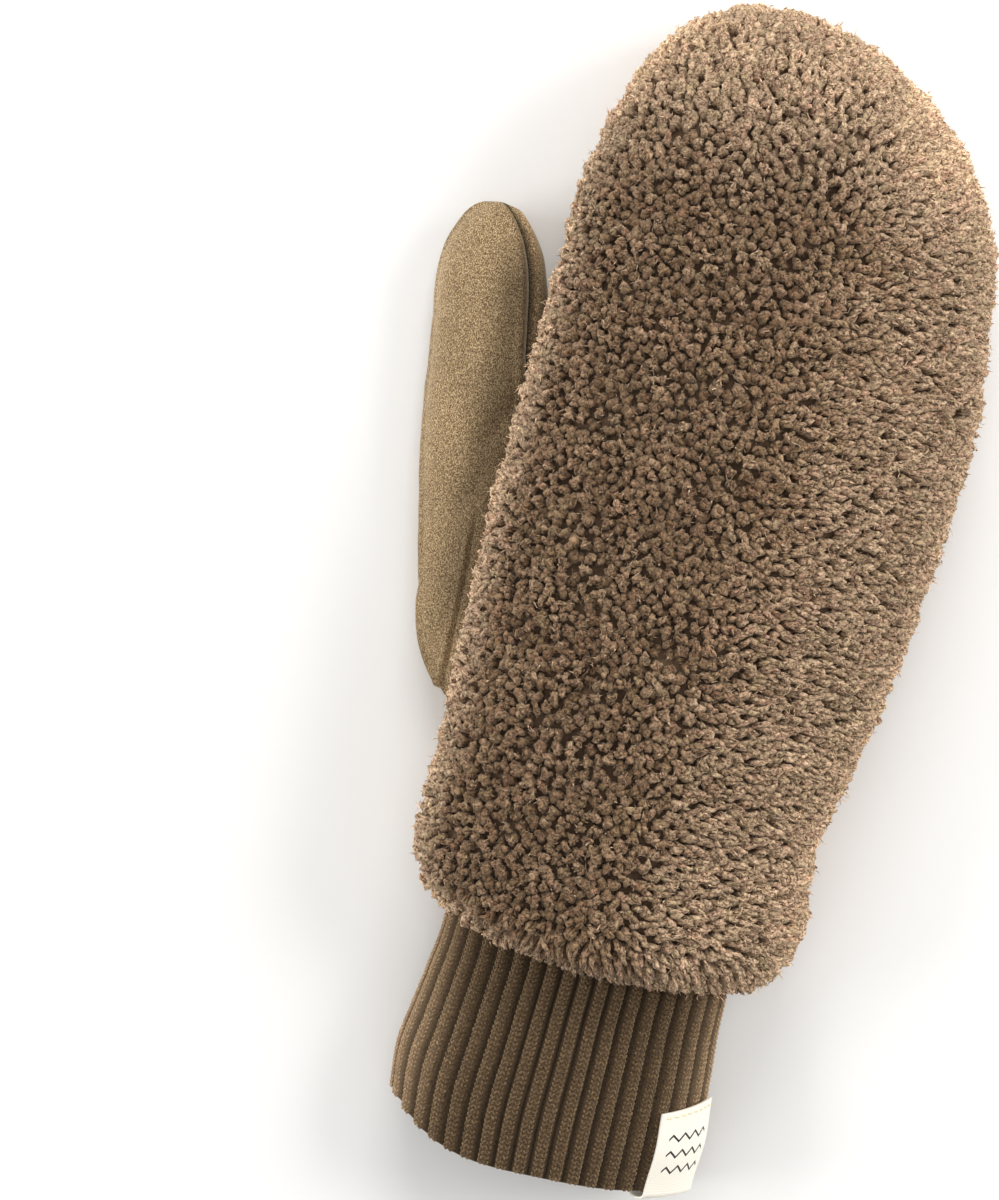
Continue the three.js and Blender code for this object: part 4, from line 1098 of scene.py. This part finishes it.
_, cuff_round = even_cuff_rings(np.array([1.0]), 0.0, 100)
ribs = int(round(cuff_round / RIB_PITCH))
around = ribs * RIB_STEPS
height = rib_height((np.arange(around) % RIB_STEPS) / RIB_STEPS)
outside_shares = np.concatenate([np.linspace(0, 0.97, 34), [0.983, 0.993]])
inside_shares = np.concatenate([[0.993, 0.98], np.linspace(0.95, 0, 14)])
outside, _ = even_cuff_rings(outside_shares, -CUFF_SKIN, around)
outside_low, _ = even_cuff_rings(outside_shares, -CUFF_SKIN - RIB_DEPTH, around)
outside = blend(outside_low, outside, height[None, :, None])
inside, _ = even_cuff_rings(inside_shares, -CUFF_WALL, around)
inside_high, _ = even_cuff_rings(inside_shares, -CUFF_WALL + 0.7, around)
inside = blend(inside_high, inside, height[None, :, None])
hem_ring, _ = even_cuff_rings(np.array([0.9985, 1.0]), -CUFF_WALL / 2, around)
hem_ring[0] = blend(hem_ring[0], outside[-1], 0.45)
hem_ring[0][:, 1] = hem_ring[1][:, 1] + 0.15
rings = np.concatenate([outside, hem_ring, inside])
points = rings.reshape(-1, 3)
index = np.arange(len(points)).reshape(len(rings), around)
following, beside = np.roll(index, -1, axis=0), np.roll(index, -1, axis=1)
quads = np.stack([index, beside, np.roll(following, -1, axis=1), following], axis=2).reshape(-1, 4)
# The tone is painted shade: half as bright down in each groove as on a rib's crest.
cuff = make_piece("rib_cuff_tube", points, facing_out(points, [quads]), rib_knit,
                  attributes=knit_tone(points, np.tile(0.3 + 0.3 * height, len(rings))))
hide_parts("rib_cuff")

# Stitches: each V is two slanting loops of yarn, drawn as spindles, in four columns on every rib
whole = CUFF_TUCK + CUFF_SHOWN
stitch_rows = int(0.94 * whole / STITCH_ROW)
rail_count = ribs * RAIL_STEPS
rails, _ = even_cuff_rings(np.linspace(0.05, 0.992, stitch_rows), 0.0, rail_count)
rib_number, row, column = (a.ravel() for a in np.meshgrid(
    np.arange(ribs), np.arange(stitch_rows), np.arange(4), indexing="ij"))
stitches = len(row)
spot = (rib_number + 0.5 + STITCH_ACROSS[column] + rng.normal(0, 0.008, stitches)) * RAIL_STEPS
low = np.floor(spot).astype(int) % rail_count
at = blend(rails[row, low], rails[row, (low + 1) % rail_count], (spot - np.floor(spot))[:, None])
down = unit(rails[np.minimum(row + 1, stitch_rows - 1), low] - rails[np.maximum(row - 1, 0), low])
across = unit(rails[row, (low + 4) % rail_count] - rails[row, (low - 4) % rail_count])
outward = unit(np.cross(down, across))
inward = np.sum(outward * (at - CUFF_HEART) * [1, 0, 1], 1, keepdims=True) < 0
outward = np.where(inward, -outward, outward)
slant = STITCH_SLANT[column][:, None]
along = unit(down * np.cos(slant) + across * np.sin(slant))
dip = 0.3 + 0.9 * RIB_DEPTH * (1 - rib_height(0.5 + STITCH_ACROSS[column]))
centre = at - outward * dip[:, None] + rng.normal(0, 0.03, (stitches, 3))
ring = round_ring(np.cross(outward, along), outward, STITCH_SIDES) * STITCH_HALF
loop = np.concatenate(
    [centre[:, None] + along[:, None] * STITCH_LENGTH * place + ring for place in (-0.24, 0.24)]
    + [(centre + along * STITCH_LENGTH * place - outward * 0.2)[:, None] for place in (-0.5, 0.5)], axis=1)
loop[..., 2] = np.maximum(loop[..., 2], 0.05)
points = loop.reshape(-1, 3)
per_stitch = loop.shape[1]
faces = facing_out(points, [copies(part, stitches, per_stitch) for part in tube_faces(STITCH_SIDES, 2)])
loop_tone = np.repeat(rng.normal(1.15, 0.14, stitches), per_stitch)
stitch_piece = make_piece("rib_cuff_stitches", points, faces, rib_knit,
                          attributes=knit_tone(points, loop_tone))


# Label: a strip of cream woven tape, folded over the cuff's hem and sewn down along its upper edge with
# pale yellow thread. It stands a little off the ribs, and has plain rows of zigzag woven in.
LABEL_WIDTH, LABEL_OUTER_LEG, LABEL_INNER_LEG = 14.0, 21.0, 9.0
LABEL_THICKNESS, LABEL_STAND_OFF, LABEL_ANGLE, LABEL_SLANT = 0.8, 0.7, math.radians(30), 3.6
OUTER_ROWS, INNER_ROWS, BEND_ROWS, TAPE_COLUMNS = 39, 15, 17, 25
THREAD_STITCHES, THREAD_HALF, THREAD_SIDES, THREAD_RINGS = 8, 0.2, 6, 3
THREAD_FROM_EDGE, THREAD_LIFT = 1.3, 0.12

woven_tape, tree, shader = new_material("woven_cotton_tape")
# Plain weave with threads 0.35 mm apart, cream, with three zigzag lines of near-black thread.
uv_map = add_node(tree, "ShaderNodeUVMap", {"uv_map": "along_piece"})
warp = add_node(tree, "ShaderNodeTexWave", {"Scale": 13, "bands_direction": "X", "Vector": uv_map})
weft = add_node(tree, "ShaderNodeTexWave", {"Scale": 27, "bands_direction": "Y", "Vector": uv_map})
weave = add_node(tree, "ShaderNodeMath",
                 {"operation": "MULTIPLY", 0: warp.outputs["Fac"], 1: weft.outputs["Fac"]})
places = add_node(tree, "ShaderNodeSeparateXYZ", {"Vector": uv_map})
zigzag = add_node(tree, "ShaderNodeMath", {"operation": "PINGPONG", 0: places.outputs["X"], 1: 0.1})
climb = add_node(tree, "ShaderNodeMath", {"operation": "MULTIPLY", 0: zigzag, 1: 0.45})
rows = None
for level in (0.16, 0.27, 0.38):
    shifted = add_node(tree, "ShaderNodeMath", {"operation": "ADD", 0: climb, 1: level})
    off = add_node(tree, "ShaderNodeMath", {"operation": "SUBTRACT", 0: places.outputs["Y"], 1: shifted})
    size = add_node(tree, "ShaderNodeMath", {"operation": "ABSOLUTE", 0: off})
    on = add_node(tree, "ShaderNodeMath", {"operation": "LESS_THAN", 0: size, 1: 0.009})
    rows = add_node(tree, "ShaderNodeMath", {"operation": "MAXIMUM", 0: rows, 1: on}) if rows else on
side_in = add_node(tree, "ShaderNodeMath", {"operation": "PINGPONG", 0: places.outputs["X"], 1: 0.5})
inside_edges = add_node(tree, "ShaderNodeMath", {"operation": "GREATER_THAN", 0: side_in, 1: 0.14})
dark = add_node(tree, "ShaderNodeMath", {"operation": "MULTIPLY", 0: rows, 1: inside_edges})
thread = add_node(tree, "ShaderNodeValToRGB", {"Fac": weave}, [(0, "#efe8d6"), (1, "#fffdf6")])
tape = add_node(tree, "ShaderNodeMixRGB", {"Fac": dark, "Color1": thread, "Color2": linear("#26221e")})
bump = add_node(tree, "ShaderNodeBump", {"Strength": 0.4, "Distance": 0.0001, "Height": weave})
set_node(tree, shader, {"Base Color": tape, "Normal": bump, "Roughness": 0.75, "Sheen Weight": 0.15})

leg_out = LABEL_STAND_OFF + LABEL_THICKNESS
leg_in = -CUFF_WALL - LABEL_STAND_OFF - LABEL_THICKNESS
bend_radius, bend_middle = (leg_out - leg_in) / 2, (leg_out + leg_in) / 2
edge_points = cuff_point(LABEL_ANGLE + np.array([-0.1, 0.1]), np.ones(2), leg_out)
half_angle = 0.1 * LABEL_WIDTH / np.linalg.norm(edge_points[1] - edge_points[0])
label_angles = LABEL_ANGLE + np.linspace(-half_angle, half_angle, TAPE_COLUMNS)


def label_slant(angles):
    """How far the outer leg's upper end is sewn up or down: straight across the tape, from LABEL_SLANT
    less 1 mm at its first edge to -1 mm at its last, as it is sewn on aslant."""
    return -1.0 + LABEL_SLANT * (label_angles[-1] - angles) / (label_angles[-1] - label_angles[0])


def label_side(inset):
    """One side of the folded tape: a leg down the outside of the cuff, a half circle round the hem and a
    leg up the inside, as rows along the tape and columns across it."""
    radius, bend = bend_radius - inset, np.linspace(0, np.pi, BEND_ROWS)
    past = np.concatenate([np.linspace(-LABEL_OUTER_LEG, 0, OUTER_ROWS + 1)[:-1],
                           (LABEL_STAND_OFF + np.sin(bend) * radius) * 0.5,
                           np.linspace(0, -LABEL_INNER_LEG, INNER_ROWS + 1)[1:]])
    lift = 0.5 * np.sin(np.linspace(0, np.pi, OUTER_ROWS)) ** 2
    out = np.concatenate([leg_out - inset + lift, bend_middle + np.cos(bend) * radius,
                          np.full(INNER_ROWS, leg_in + inset)])
    shares = 1 + np.minimum(past, 0)[:, None] / whole + 0 * label_angles[None]
    grid = cuff_point(label_angles[None] + 0 * shares, shares, out[:, None])
    grid[..., 1] -= np.maximum(past, 0)[:, None]
    up_leg = np.clip(-past / LABEL_OUTER_LEG, 0, 1) * (out > 0)
    grid[..., 1] += label_slant(label_angles)[None] * up_leg[:, None]
    return grid


label = cloth_shell("hem_label_tape", label_side(0.0), label_side(LABEL_THICKNESS), woven_tape)
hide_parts("hem_label")

sewing_thread, tree, shader = new_material("polyester_sewing_thread")
# Two twisted plies catch the light in turn, about every 0.25 mm.
place = add_node(tree, "ShaderNodeTexCoord", {}).outputs["Object"]
twist = add_node(tree, "ShaderNodeTexNoise", {"Scale": 4000, "Detail": 1, "Vector": place})
plies = add_node(tree, "ShaderNodeValToRGB", {"Fac": twist}, [(0, "#d9c886"), (1, "#f6ecc0")])
set_node(tree, shader, {"Base Color": plies, "Roughness": 0.6})

thread_angles = LABEL_ANGLE + np.linspace(-0.93, 0.93, THREAD_STITCHES + 1) * half_angle
row_share = np.full(THREAD_STITCHES + 1, 1 - (LABEL_OUTER_LEG - THREAD_FROM_EDGE) / whole)
row_points = cuff_point(thread_angles, row_share, leg_out + THREAD_LIFT)
row_points[:, 1] += 0.94 * label_slant(thread_angles)
way = unit(row_points[1:] - row_points[:-1])
start, end = row_points[:-1] + way * 0.15, row_points[1:] - way * 0.15
up = unit(row_points[:-1] - CUFF_HEART - [0, row_points[0, 1], 0])
ring = round_ring(np.cross(way, up), up, THREAD_SIDES) * THREAD_HALF
middle = (start + end) / 2 + up * 0.05
stitch_points = np.concatenate([
    blend(start, end, 0.2)[:, None] + ring * 0.8, middle[:, None] + ring,
    blend(start, end, 0.8)[:, None] + ring * 0.8,
    (start - up * THREAD_HALF)[:, None], (end - up * THREAD_HALF)[:, None]], axis=1)
points = stitch_points.reshape(-1, 3)
faces = facing_out(points, [copies(part, THREAD_STITCHES, stitch_points.shape[1])
                            for part in tube_faces(THREAD_SIDES, THREAD_RINGS)])
label_stitching = make_piece("hem_label_stitching", points, faces, sewing_thread)
